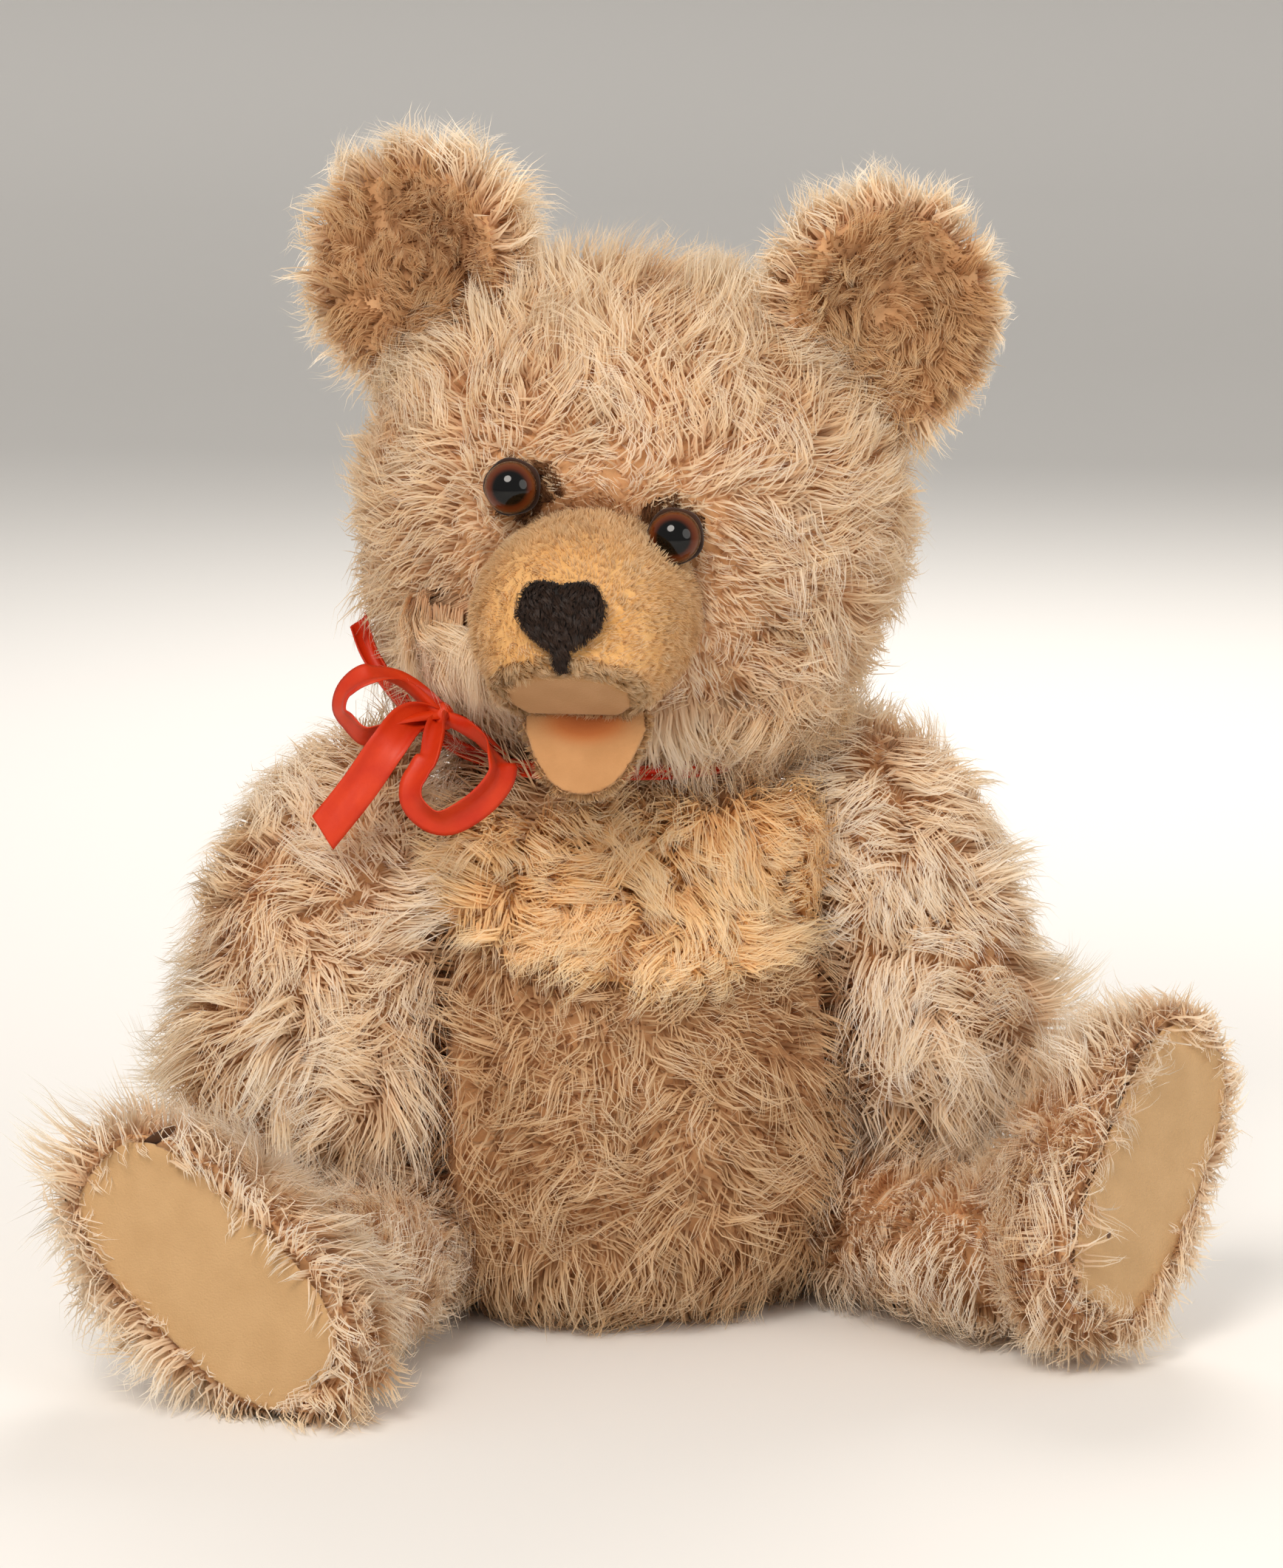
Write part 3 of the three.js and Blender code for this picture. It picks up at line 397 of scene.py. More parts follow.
def smooth_step(value, low, high):
    share = np.clip((value - low) / (high - low), 0, 1)
    return share * share * (3 - 2 * share)


def flattened(vectors, normal):
    """What is left of vectors without their part along a direction."""
    return vectors - normal * (vectors @ normal)[:, None]


def from_upright(points):
    """The level direction to each point from the upright axis through the neck."""
    return unit(points * np.array([1, 1, 0]))


# %% Skins
CLOTH_OFF_FLOOR = 0.0004
JOINT_REACH = 0.09
COATS = {}


def merged_copy(name, node_name):
    """One closed mesh from a CAD node, with its loose triangles merged."""
    whole = bmesh.new()
    whole.from_mesh(CAD[node_name].data)
    bmesh.ops.remove_doubles(whole, verts=whole.verts, dist=0.00001)
    mesh = bpy.data.meshes.new(name)
    whole.to_mesh(mesh)
    whole.free()
    return link_mesh(name, mesh)


def apply_all(obj):
    bpy.ops.object.select_all(action="DESELECT")
    bpy.context.view_layer.objects.active = obj
    obj.select_set(True)
    for modifier in list(obj.modifiers):
        bpy.ops.object.modifier_apply(modifier=modifier.name)


def keep_largest(obj):
    """Deletes all but the largest connected shell, such as the walls of the disc pockets."""
    whole = bmesh.new()
    whole.from_mesh(obj.data)
    seen = set()
    shells = []
    for start in whole.verts:
        if start in seen:
            continue
        seen.add(start)
        shell = [start]
        for vertex in shell:
            for edge in vertex.link_edges:
                other = edge.other_vert(vertex)
                if other not in seen:
                    seen.add(other)
                    shell.append(other)
        shells.append(shell)
    shells.sort(key=len, reverse=True)
    spare = [vertex for shell in shells[1:] for vertex in shell]
    bmesh.ops.delete(whole, geom=spare, context="VERTS")
    whole.to_mesh(obj.data)
    whole.free()


def stuffed_skin(name, node_name, voxel, inset, rounds, body, material, slot, at_joints=True,
                 swell=None):
    """The ground cloth of a coat: its solid remeshed, smoothed, and drawn in or swollen."""
    obj = merged_copy(name, node_name)
    add_modifier(obj, "REMESH", mode="VOXEL", voxel_size=voxel)
    apply_all(obj)
    keep_largest(obj)
    add_modifier(obj, "SMOOTH", factor=0.5, iterations=rounds)
    apply_all(obj)
    places, normals, _ = arrays(obj)
    depth = np.full(len(places), inset)
    if at_joints:
        for point, outward in SEATS:
            away = np.abs((places - point) @ outward)
            near = np.linalg.norm(places - point, axis=1) < JOINT_REACH
            depth = np.where(near, depth * smooth_step(away, 0.003, 0.016), depth)
    if swell:
        depth = depth - swell(places, normals)
    places = places - normals * depth[:, None]
    places[:, 2] = np.maximum(places[:, 2], CLOTH_OFF_FLOOR)
    place_vertices(obj, places)
    finish_piece(obj, material, body, node_name)
    COATS[name] = body, slot
    print(name, len(obj.data.polygons), "faces")
    return obj


# %% [markdown]
# ## How the pile grows
# Pile of this length doesn't stand as single hairs. It gathers into wisps a few millimetres
# across, and the wisps into curling locks. So locks are scattered over the skin first, and wisps
# over the locks. Each strand then leaves the cloth on its own and is drawn towards its wisp as it
# rises, and each wisp towards its lock. Strands are narrow blades that turn their faces outwards,
# because a tube for each hair would need far more faces and look the same from a step away. A
# layer of short and broad blades, coloured like the lower part of a hair, hides the cloth.

# %% Scattering, waves and blades
PILE_OFF_FLOOR = 0.0005
ROOT_DEPTH = 0.0008


def wander(places, seed, size):
    """A smooth value between about -1 and 1 that changes over the given size."""
    draw = np.random.default_rng(seed)
    total = np.zeros(len(places))
    for _ in range(6):
        direction = unit(draw.normal(size=3)) * 2 * math.pi / (size * draw.uniform(0.7, 1.6))
        total += np.sin(places @ direction + draw.uniform(0, 6.28))
    return total / 2.6


def scatter(obj, count, draw, allowed):
    """Random points over the allowed part of a skin, with their normals, and the area covered."""
    places, normals, triangles = arrays(obj)
    corners = places[triangles]
    first, second = corners[:, 1] - corners[:, 0], corners[:, 2] - corners[:, 0]
    areas = np.linalg.norm(np.cross(first, second), axis=1) / 2
    middle = corners.mean(axis=1)
    facing = unit(normals[triangles].mean(axis=1))
    weight = areas * allowed(middle, facing)
    picked = draw.choice(len(triangles), size=count, p=weight / weight.sum())
    share = draw.dirichlet((1, 1, 1), size=count)
    points = np.einsum("ij,ijk->ik", share, corners[picked])
    outward = unit(np.einsum("ij,ijk->ik", share, normals[triangles[picked]]))
    return points, outward, weight.sum()


def nearest(points, centres):
    tree = kdtree.KDTree(len(centres))
    for number, centre in enumerate(centres):
        tree.insert(centre, number)
    tree.balance()
    return np.array([tree.find(point)[1] for point in points])


def strand_paths(roots, outward, lean, length, rise, steps, curl, sway):
    """Points along each strand: steep at the cloth, then over along the lean and to a side."""
    share = ((np.arange(steps) + 0.5) / steps)[None, :, None]
    side = np.cross(outward, lean)[:, None, :]
    tip = 2.6 * (rise[:, None, None] - 0.59)
    tilt = 1.4 + (tip - 1.4) * share
    turn = curl[:, None, None] * share + 0.55 * np.sin(6.3 * share + sway[:, None, None])
    flat = lean[:, None, :] * np.cos(turn) + side * np.sin(turn)
    ripple = 6.5 * share + 2 * sway[:, None, None]
    heading = outward[:, None, :] * np.sin(tilt) + flat * np.cos(tilt)
    heading = unit(heading + 0.32 * (side * np.sin(ripple) + lean[:, None, :] * np.cos(ripple)))
    walked = np.cumsum(heading * (length / steps)[:, None, None], axis=1)
    return np.concatenate([roots[:, None, :], roots[:, None, :] + walked], axis=1)


def drawn_in(path, size, owner, heart, heart_roots, heart_size, strength):
    """Strands bent towards the line of the wisp or lock that each belongs to."""
    pull = np.linspace(0, 1, path.shape[1])[None, :, None] ** 1.2 * strength[:, None, None]
    ratio = (size / np.maximum(heart_size[owner], 1e-4))[:, None, None]
    start = heart_roots[owner][:, None, :]
    return path * (1 - pull) + (start + (heart[owner] - start) * ratio) * pull


def blades(name, path, outward, width, tone, material, body, slot, puff, roll, ripe):
    """A mesh of narrow blades, one for each strand, with its map and its soft normals."""
    strands, points = path.shape[:2]
    along = unit(np.gradient(path, axis=1))
    across = unit(np.cross(along, outward[:, None, :]))
    share = np.linspace(0, 1, points)
    taper = (1 - share ** 1.4)[None, :, None] * width[:, None, None] / 2
    left = path + across * taper
    right = path - across * taper
    sides = np.stack([left, right], axis=2)[:, :-1].reshape(strands, -1, 3)
    vertices = np.concatenate([sides, path[:, -1:]], axis=1)
    vertices[:, :, 2] = np.maximum(vertices[:, :, 2], PILE_OFF_FLOOR)
    per = vertices.shape[1]
    quads = points - 2
    faces = [[2 * k, 2 * k + 2, 2 * k + 3, 2 * k + 1] for k in range(quads)]
    tip = [2 * quads, 2 * quads + 2, 2 * quads + 1]
    loop = np.array([v for face in faces for v in face] + tip)
    loops = (loop[None, :] + per * np.arange(strands)[:, None]).ravel()
    sizes = np.tile([4] * quads + [3], strands)
    starts = np.concatenate([[0], np.cumsum(sizes)[:-1]])
    mesh = bpy.data.meshes.new(name)
    mesh.vertices.add(strands * per)
    mesh.vertices.foreach_set("co", vertices.astype(np.float32).ravel())
    mesh.loops.add(len(loops))
    mesh.loops.foreach_set("vertex_index", loops.astype(np.int32))
    mesh.polygons.add(len(sizes))
    mesh.polygons.foreach_set("loop_start", starts.astype(np.int32))
    mesh.polygons.foreach_set("loop_total", sizes.astype(np.int32))
    mesh.polygons.foreach_set("use_smooth", np.ones(len(sizes), dtype=bool))
    u = np.stack([tone - 0.012, tone + 0.012], axis=1)[:, None, :].repeat(points - 1, axis=1)
    v = np.broadcast_to(share[None, :-1, None], u.shape) * 0.98 * ripe + 0.01
    flat = np.stack([u, v], axis=-1).reshape(strands, -1, 2)
    ends = np.stack([tone, np.full(strands, 0.98 * ripe + 0.01)], axis=-1)[:, None, :]
    chart = np.concatenate([flat, ends], axis=1).reshape(-1, 2)
    layer = mesh.uv_layers.new(name=BAKE_MAP)
    layer.data.foreach_set("uv", chart[loops].astype(np.float32).ravel())
    mesh.update()
    face = unit(np.cross(across, along))
    soft = unit(0.8 * outward[:, None, :] + 0.75 * puff[:, None, :] + 0.4 * face
                + across * roll[:, None, None])
    soft = np.concatenate([soft[:, :-1].repeat(2, axis=1), soft[:, -1:]], axis=1).reshape(-1, 3)
    mesh.normals_split_custom_set_from_vertices(soft)
    obj = link_mesh(name, mesh)
    mesh.materials.append(material)
    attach(obj, body)
    print(name, strands, "strands,", strands * (2 * points - 3), "triangles")


# %% The pile of one coat
LONG_PILE = 0.0235
UNDER_LENGTH = 0.62
UNDER_WAYS = {"width": 0.00125, "steps": 2, "ripe": 0.7}


def field(value):
    """A number as a function that gives it at every place. A function stays as it is."""
    return value if callable(value) else lambda points, normals: np.full(len(points), value)


def grow(name, skin, material, seed, count, length, lay, allowed=1.0, rise=0.5, lock=0.013,
         wisp=0.0042, gather=0.36, swirl=1.0, curl=1.2, width=0.00074, steps=4, loose=0.06,
         ripe=1.0, shade=0.0):
    """Covers the allowed part of a skin with pile, which rides on the skin's body.

    length gives each place its strand length, rise how much of that it stands up, and lay the
    way the pile leans there. lock and wisp are their sizes, and gather, swirl and curl say how
    strongly they draw together, turn and bend. loose is the share of strands that stray. ripe
    says how far up the colours from root to tip the pile reaches, and shade makes it paler.
    """
    draw = np.random.default_rng(seed)
    length, allowed, rise = field(length), field(allowed), field(rise)
    roots, outward, area = scatter(skin, count, draw, allowed)
    locks, lock_out, _ = scatter(skin, max(8, int(area / lock ** 2)), draw, allowed)
    wisps, wisp_out, _ = scatter(skin, max(16, int(area / wisp ** 2)), draw, allowed)
    many, few = len(wisps), len(locks)

    def leaning(places, normals, angle):
        wish = lay(places, normals)
        flat = unit(wish - normals * np.sum(wish * normals, axis=1, keepdims=True))
        other = np.cross(normals, flat)
        return unit(flat * np.cos(angle)[:, None] + other * np.sin(angle)[:, None])

    turn = swirl * (1.2 * wander(locks, seed + 1, 0.05) + draw.normal(0, 0.22, few))
    bend = curl * (1.1 * wander(locks, seed + 3, 0.034) + draw.normal(0, 0.3, few))
    stand = np.clip(rise(locks, lock_out) + draw.normal(0, 0.1, few), 0.1, 0.95)
    reach = length(locks, lock_out) * draw.uniform(0.8, 1.12, few)
    sway = draw.uniform(0, 6.28, few)
    heart = strand_paths(locks, lock_out, leaning(locks, lock_out, turn), reach, stand, steps, bend,
                         sway)

    of_lock = nearest(wisps, locks)
    wisp_turn = turn[of_lock] + draw.normal(0, 0.14, many)
    wisp_bend = bend[of_lock] + draw.normal(0, 0.18, many)
    wisp_stand = np.clip(stand[of_lock] + draw.normal(0, 0.07, many), 0.08, 0.97)
    wisp_reach = length(wisps, wisp_out) * draw.uniform(0.78, 1.1, many)
    wisp_sway = sway[of_lock] + draw.normal(0, 0.3, many)
    line = strand_paths(wisps, wisp_out, leaning(wisps, wisp_out, wisp_turn), wisp_reach,
                        wisp_stand, steps, wisp_bend, wisp_sway)
    line = drawn_in(line, wisp_reach, of_lock, heart, locks, reach,
                    gather * 0.8 * draw.uniform(0.4, 1.2, many))

    owner = nearest(roots, wisps)
    free = draw.random(count) < loose
    size = length(roots, outward) * draw.uniform(0.75, 1.08, count) * (1 + 0.06 * free)
    upright = np.clip(wisp_stand[owner] + draw.normal(0, 0.05, count) + 0.12 * free, 0.05, 0.97)
    path = strand_paths(roots, outward,
                        leaning(roots, outward, wisp_turn[owner] + draw.normal(0, 0.09, count)),
                        size, upright, steps, wisp_bend[owner] + draw.normal(0, 0.12, count),
                        wisp_sway[owner] + draw.normal(0, 0.12, count))
    strength = np.where(free, 0.12, np.clip(1.25 * gather, 0, 0.9) * draw.uniform(0.6, 1.1, count))
    path = drawn_in(path, size, owner, line, wisps, wisp_reach, strength)
    path[:, 0] -= outward * ROOT_DEPTH
    tone = 0.5 + 0.2 * wander(locks, seed + 2, 0.06)[of_lock] + draw.normal(0, 0.14, few)[of_lock]
    tone = (tone + draw.normal(0, 0.1, many))[owner]
    tone = tone + (shade(roots) if callable(shade) else shade)
    tone = np.clip(tone + draw.normal(0, 0.06, count), 0.02, 0.98)
    tone[:2] = 0.03, 0.97
    puff = (0.55 * (wisps[owner] - locks[of_lock[owner]]) / lock
            + 0.35 * (roots - wisps[owner]) / wisp)
    roll = draw.normal(0, 0.32, many)[owner] + draw.normal(0, 0.1, count)
    blades(name, path, outward, width * draw.uniform(0.7, 1.25, count), tone, material,
           *COATS[skin.name], puff, roll, ripe)


def grow_both(name, skin, material, seed, count, short, length, lay, allowed, rise, **ways):
    """The long pile of a coat, and the short under-layer that hides its cloth."""
    def under(points, normals):
        return length(points, normals) * UNDER_LENGTH

    grow(f"{name}_pile", skin, material, seed, count, length, lay, allowed, rise, **ways)
    grow(f"{name}_under_pile", skin, material, seed + 500, short, under, lay, allowed, 0.6,
         **{**ways, **UNDER_WAYS})


# %% [markdown]
# ## Head
# The head is a firm ball a little wider than deep. Its pile fans out from the snout: short beside
# the snout and the eyes, where the maker trimmed it, up and outwards over the brow, and down over
# the cheeks, where it hangs to the bow's knot.

# %% Head skin and pile
SNOUT_X, SNOUT_Z, SNOUT_WIDE, SNOUT_HIGH = 2.5, 51.5, 35.5, 33
SNOUT_MIDDLE = from_head(SNOUT_X, -96, SNOUT_Z)


def middle_of(node_name):
    corners = node_points(node_name)
    return (corners.min(axis=0) + corners.max(axis=0)) / 2


EYES = {word: middle_of(f"eye_{word}") for word in ("right", "left")}
DOWN = np.array([0, 0, -1.0])
head_front = np.array(HEAD.to_3x3() @ Vector((0, -1, 0)))

head_skin = stuffed_skin("head_skin", "head_coat", 0.0045, 0.003, 12, "head", GROUND_CLOTH,
                         "mohair")


def in_head(points):
    """Row-frame points in the head's place, in millimetres."""
    turned = np.array(HEAD.inverted())
    return (points @ turned[:3, :3].T + turned[:3, 3]) / MM


def snout_distance(points):
    """How far outside the snout's outline a point lies, seen from the front, in metres."""
    local = in_head(points)
    around = np.hypot((local[:, 0] - SNOUT_X) / SNOUT_WIDE, (local[:, 2] - SNOUT_Z) / SNOUT_HIGH)
    return np.where(local[:, 1] < -20, (around - 1) * 0.034, 0.2)


def eye_distance(points):
    return np.min([np.linalg.norm(points - eye, axis=1) for eye in EYES.values()], axis=0)


def head_allowed(points, normals):
    clear = (snout_distance(points) > -0.003) & (eye_distance(points) > 0.0128)
    local = in_head(points)
    under = (np.hypot(local[:, 0], local[:, 1]) < 30) & (local[:, 2] < 12)
    return np.where(clear & ~under, np.where(local[:, 1] > 25, 0.75, 1.0), 0.0)


def head_length(points, normals):
    local = in_head(points)
    trim = smooth_step(snout_distance(points), 0.0, 0.028)
    trim = np.minimum(trim, smooth_step(eye_distance(points), 0.0125, 0.030))
    low = smooth_step(-local[:, 2], -45, -10)
    cheek = smooth_step(-local[:, 0], 5, 35) * smooth_step(-local[:, 2], -62, -30)
    return 0.0075 + 0.0165 * trim + 0.007 * low + 0.009 * cheek


def head_rise(points, normals):
    return 0.44 + 0.3 * smooth_step(normals[:, 2], 0.35, 0.95)


def head_lay(points, normals):
    away = unit(points - SNOUT_MIDDLE)
    local = in_head(points)
    low = smooth_step(-(local[:, 2] - 80), 0, 40)[:, None]
    behind = smooth_step(local[:, 1], -10, 40)[:, None]
    repel = np.zeros_like(points)
    for eye in EYES.values():
        offset = points - eye
        near = np.exp(-(np.linalg.norm(offset, axis=1) / 0.016) ** 2)[:, None]
        repel += unit(offset) * near * 1.6
    under = smooth_step(-local[:, 2], -32, -14)[:, None]
    return (away * (1 - 0.8 * under) + from_upright(points) * under
            + DOWN * (0.9 * low + 0.8 * behind) + repel)


grow_both("head", head_skin, MOHAIR, 11, 19800, 11200, head_length, head_lay, head_allowed,
          head_rise, swirl=0.8, lock=0.011, wisp=0.0038,
          shade=lambda points: -0.3 - 0.4 * smooth_step(points[:, 2], 0.27, 0.31))


def beside_eye(points, normals):
    return eye_distance(points) < 0.0165


def round_eyes(points, normals):
    return unit(np.where(in_head(points)[:, :1] < 5, EYES["right"], EYES["left"]) - points)


KNOT = np.array([-62, -47.5, 196.5]) * MM


def over_knot(points, normals):
    """The low edge of the cheek, near a line that runs above the knot to the mouth's corner."""
    start, end = np.array([-74, -26, 224]) * MM, np.array([-42, -62, 214]) * MM
    share = np.clip((points - start) @ (end - start) / np.sum((end - start) ** 2), 0, 1)[:, None]
    near = np.linalg.norm(points - start - share * (end - start), axis=1) < 0.015
    return near & (snout_distance(points) > -0.002)


grow("cheek_fringe_pile", head_skin, MOHAIR, 19, 2600, 0.034,
     lambda points, normals: DOWN + 0.3 * head_front, over_knot, swirl=0.7, curl=1.1, lock=0.011,
     wisp=0.0036, shade=-0.25)


def chin_front(points, normals):
    ring = np.hypot(points[:, 0], points[:, 1]) > 0.042
    low = (points[:, 2] < 0.203) & (points[:, 1] < -0.005)
    return ring & low & (snout_distance(points) > 0.0005)


grow("chin_fringe_pile", head_skin, MOHAIR, 23, 2400, 0.027,
     lambda points, normals: DOWN + 0.5 * from_upright(points), chin_front, swirl=0.5, curl=0.8,
     lock=0.011, wisp=0.0036)

# The short pile round each eye is dark brown: partly stain, partly painted shade of the deep eye
# socket.
RIM_MOHAIR = pile_material(
    "woven_mohair_stained_and_shaded_round_the_eye",
    [(0.0, "#2e1a0e"), (0.5, "#5a3820"), (1.0, "#8e6240")],
    [(0.0, "#40261a"), (0.5, "#754c30"), (1.0, "#b08258")],
)
grow("eye_rim_pile", head_skin, RIM_MOHAIR, 17, 2600, 0.0070, round_eyes, beside_eye, rise=0.7,
     lock=0.003, wisp=0.0015, gather=0.3, width=0.0004, steps=2)

# %% [markdown]
# ## Ears
# Each ear is a cup of two rounds of mohair sewn together and then across the corner of the head.
# Its rim stands out in long pale pile, and the hollow is matted and brown from handling.

# %% Ears
EAR_RADIUS, HOLLOW_RADIUS = 0.04, 0.031


def ear_place(side):
    at = Matrix.Translation(Vector((side * 73, 2, 144)) * MM)
    turn = Matrix.Rotation(math.radians(side * 24), 4, "Z")
    return HEAD @ HEAD_TILT @ at @ turn


def make_ear(word, side, seed):
    skin = stuffed_skin(f"ear_{word}_skin", f"ear_{word}", 0.003, 0.0018, 6, "head", GROUND_CLOTH,
                        "mohair", at_joints=False)
    place = np.array(ear_place(side))
    centre, front, across = place[:3, 3], -place[:3, 1], place[:3, 0]

    def lay(points, normals):
        return unit(flattened(points - centre, front)) + 0.25 * front

    def reach(points, normals):
        outer = (points - centre) @ across * side / EAR_RADIUS
        high = (points - centre)[:, 2] / EAR_RADIUS
        if side > 0:
            return 0.0215 - 0.009 * smooth_step(outer, 0.2, 0.9)
        tuft = smooth_step(-outer, 0.1, 0.6) * smooth_step(high, 0.1, 0.6)
        return 0.0215 + 0.010 * tuft

    def hollow(points, normals):
        inside = np.linalg.norm(flattened(points - centre, front), axis=1) < HOLLOW_RADIUS
        return (normals @ front > 0.35) & inside

    def outside(points, normals):
        return ~hollow(points, normals)

    grow_both(f"ear_{word}", skin, MOHAIR, seed, 3700, 1700, reach, lay, outside, 0.55,
              lock=0.008, wisp=0.003, swirl=0.6)
    grow(f"ear_{word}_hollow_pile", skin, EAR_MOHAIR, seed + 5, 2100, 0.013, lay, hollow,
         lock=0.007, wisp=0.003, swirl=1.3, width=0.0006)


make_ear("right", -1, 21)
make_ear("left", 1, 31)

# %% [markdown]
# ## Snout and mouth
# The snout is clipped mohair, 3 to 4 mm long and dense as plush. The pile has worn pale round the
# nose and is matted and dusty along the lip. The mouth is lined with felt, and the back of the
# lower lining, where it folds into the mouth, is painted darker and more orange as painted shade.

# %% Snout and jaw
PALATE_POINT = from_head(0, -98, 25)
palate_along = unit(np.array(HEAD.to_3x3() @ Vector((0, -24, 16))))
palate_across = np.array(HEAD.to_3x3() @ Vector((1, 0, 0)))
PALATE_NORMAL = unit(np.cross(palate_along, palate_across))
if PALATE_NORMAL[2] > 0:
    PALATE_NORMAL = -PALATE_NORMAL


def lip_distance(points):
    """How far above the plane of the mouth's roof a point lies."""
    return -((points - PALATE_POINT) @ PALATE_NORMAL)


def full_at_lip(points, normals):
    """Beside the mouth the snout's cloth reaches the felt, so it isn't drawn in there."""
    return 0.0017 * (1 - smooth_step(lip_distance(points), 0.003, 0.008))


snout_skin = stuffed_skin("muzzle_skin", "muzzle", 0.0018, 0.0022, 4, "head", CLIPPED_GROUND,
                          "clipped_mohair", at_joints=False, swell=full_at_lip)


def felt_distance(points, node_name):
    """How far each point lies from a CAD piece of felt."""
    tree = surface_of(CAD[node_name])
    return np.array([tree.find_nearest(Vector(point))[3] for point in points])


def snout_allowed(points, normals):
    behind = in_head(points)[:, 1] > -52
    roof = (normals @ PALATE_NORMAL > 0.6) & (lip_distance(points) < 0.004)
    roof[roof] = felt_distance(points[roof], "mouth_palate") < 0.001
    return ~(roof | behind)


def snout_lay(points, normals):
    return unit(points - from_head(3.5, -124, 60)) + 0.3 * DOWN


def at_lip(points, normals):
    return snout_allowed(points, normals) & (lip_distance(points) < 0.0036)


def above_lip(points, normals):
    return snout_allowed(points, normals) & (lip_distance(points) >= 0.0022)


def worn_pale(points):
    """The snout is palest beside the nose, and dusty on top and low at its sides."""
    local = in_head(points)
    front = np.exp(-((local[:, 0] - 3) / 26) ** 2 - ((local[:, 2] - 42) / 20) ** 2)
    return 0.45 * front - 0.12


grow("muzzle_pile", snout_skin, CLIPPED_MOHAIR, 41, 17000, 0.0034, snout_lay, above_lip,
     rise=0.72, lock=0.005, wisp=0.0022, gather=0.2, curl=0.3, width=0.00046, steps=2,
     shade=worn_pale)
grow("lip_pile", snout_skin, LIP_MOHAIR, 43, 4600, 0.0044,
     lambda points, normals: 0.4 * snout_lay(points, normals) + DOWN, at_lip, rise=0.55,
     lock=0.0035, wisp=0.0016, gather=0.25, width=0.00042, steps=2)

jaw_skin = stuffed_skin("lower_jaw_skin", "lower_jaw", 0.0012, 0.0002, 3, "head", LIP_GROUND,
                        "clipped_mohair", at_joints=False)
lining_points = node_points("jaw_lining")
JAW_FACE = np.linalg.svd(lining_points - lining_points.mean(axis=0), full_matrices=False)[2][2]
JAW_FACE = JAW_FACE * np.sign(JAW_FACE @ head_front)


def jaw_outside(points, normals):
    """The plush shows behind the felt and as a rim round it, not where the felt covers it."""
    return normals @ JAW_FACE < 0.45


grow("lower_jaw_pile", jaw_skin, LIP_MOHAIR, 45, 3600, 0.0038,
     lambda points, normals: unit(points - from_head(7, -104, 12)) + 0.3 * DOWN, jaw_outside,
     rise=0.7, lock=0.0035, wisp=0.0016, gather=0.4, width=0.0004, steps=2)

# %% [markdown]
# ## Felt
# Wool felt has no weave: its fibres lie every way, and wear polishes them flat. The soles and paw
# pads are cut from one tan felt, and the linings of the mouth from a warmer and smoother one.

# %% Felt pieces
FELT = cloth_material("pressed_wool_felt", "#b89468", "#c09c70", 0.0006, roughness=0.85, bump=0.55)


def lining_felt():
    """Felt that is darker and more orange where the lower lining meets the roof of the mouth:
    painted shade of the fold at the back of the mouth.
    """
    material = cloth_material("pressed_wool_felt_shaded_at_the_fold", "#ac7d50", "#ba8a5c", 0.0006, bump=0.3)
    tree = material.node_tree
    shader = tree.nodes["Principled BSDF"]
    plain = shader.inputs["Base Color"].links[0].from_socket
    place = add_node(tree, "ShaderNodeTexCoord")
    fold = from_head(7, -99, 24)
    offset = add_node(tree, "ShaderNodeVectorMath", {1: tuple(fold)}, {0: place.outputs["Object"]},
                      operation="SUBTRACT")
    spread = add_node(tree, "ShaderNodeVectorMath", {1: (55.0, 55.0, 105.0)},
                      {0: offset.outputs["Vector"]}, operation="MULTIPLY")
    reach = add_node(tree, "ShaderNodeVectorMath", links={0: spread.outputs["Vector"]},
                     operation="LENGTH")
    reach = reach.outputs["Value"]
    # Painted shade: the felt darkens and turns orange towards the fold at the back of the mouth.
    painted_shade = color_ramp(tree, reach, [(0.2, "#a0572a"), (0.6, "#b26a38"), (1.0, "#ba8a5c")])
    fade = color_ramp(tree, reach, [(0.45, "#ffffff"), (1.0, "#000000")])
    tree.links.new(mix_colors(tree, fade, plain, painted_shade), shader.inputs["Base Color"])
    return material


LINING = lining_felt()


def felt_piece(name, node_name, body, material, voxel, rounds):
    obj = merged_copy(name, node_name)
    add_modifier(obj, "REMESH", mode="VOXEL", voxel_size=voxel)
    add_modifier(obj, "SMOOTH", factor=0.5, iterations=rounds)
    add_modifier(obj, "DECIMATE", ratio=0.3)
    apply_all(obj)
    finish_piece(obj, material, body, node_name)
    print(name, len(obj.data.polygons), "faces")
    return obj


ROOF_FELT = cloth_material("pressed_wool_felt_in_the_mouth", "#a87c4c", "#b4885a", 0.0006, bump=0.3)
ROOF_SUNK, ROOF_WIDER = 0.0011, 0.1
roof_felt = felt_piece("mouth_palate_felt", "mouth_palate", "head", ROOF_FELT, 0.0007, 3)
places = arrays(roof_felt)[0]
spread = (places - places.mean(axis=0)) @ palate_across
place_vertices(roof_felt, places - PALATE_NORMAL * ROOF_SUNK
               + ROOF_WIDER * spread[:, None] * palate_across)
felt_piece("jaw_lining_felt", "jaw_lining", "head", LINING, 0.0007, 3)
for word in ("right", "left"):
    felt_piece(f"paw_pad_{word}_felt", f"paw_pad_{word}", f"{word}_arm", FELT, 0.0009, 2)
    felt_piece(f"foot_pad_{word}_felt", f"foot_pad_{word}", f"{word}_leg", FELT, 0.0009, 2)

# %% [markdown]
# ## Eyes
# Each eye is a blown glass ball, flattened a little from front to back: an amber iris under clear
# glass, with a round black pupil. The look is in the glass: a sharp gloss over a deep colour.
# The ball's own attribute holds the distance from its axis, so iris and pupil stay round.

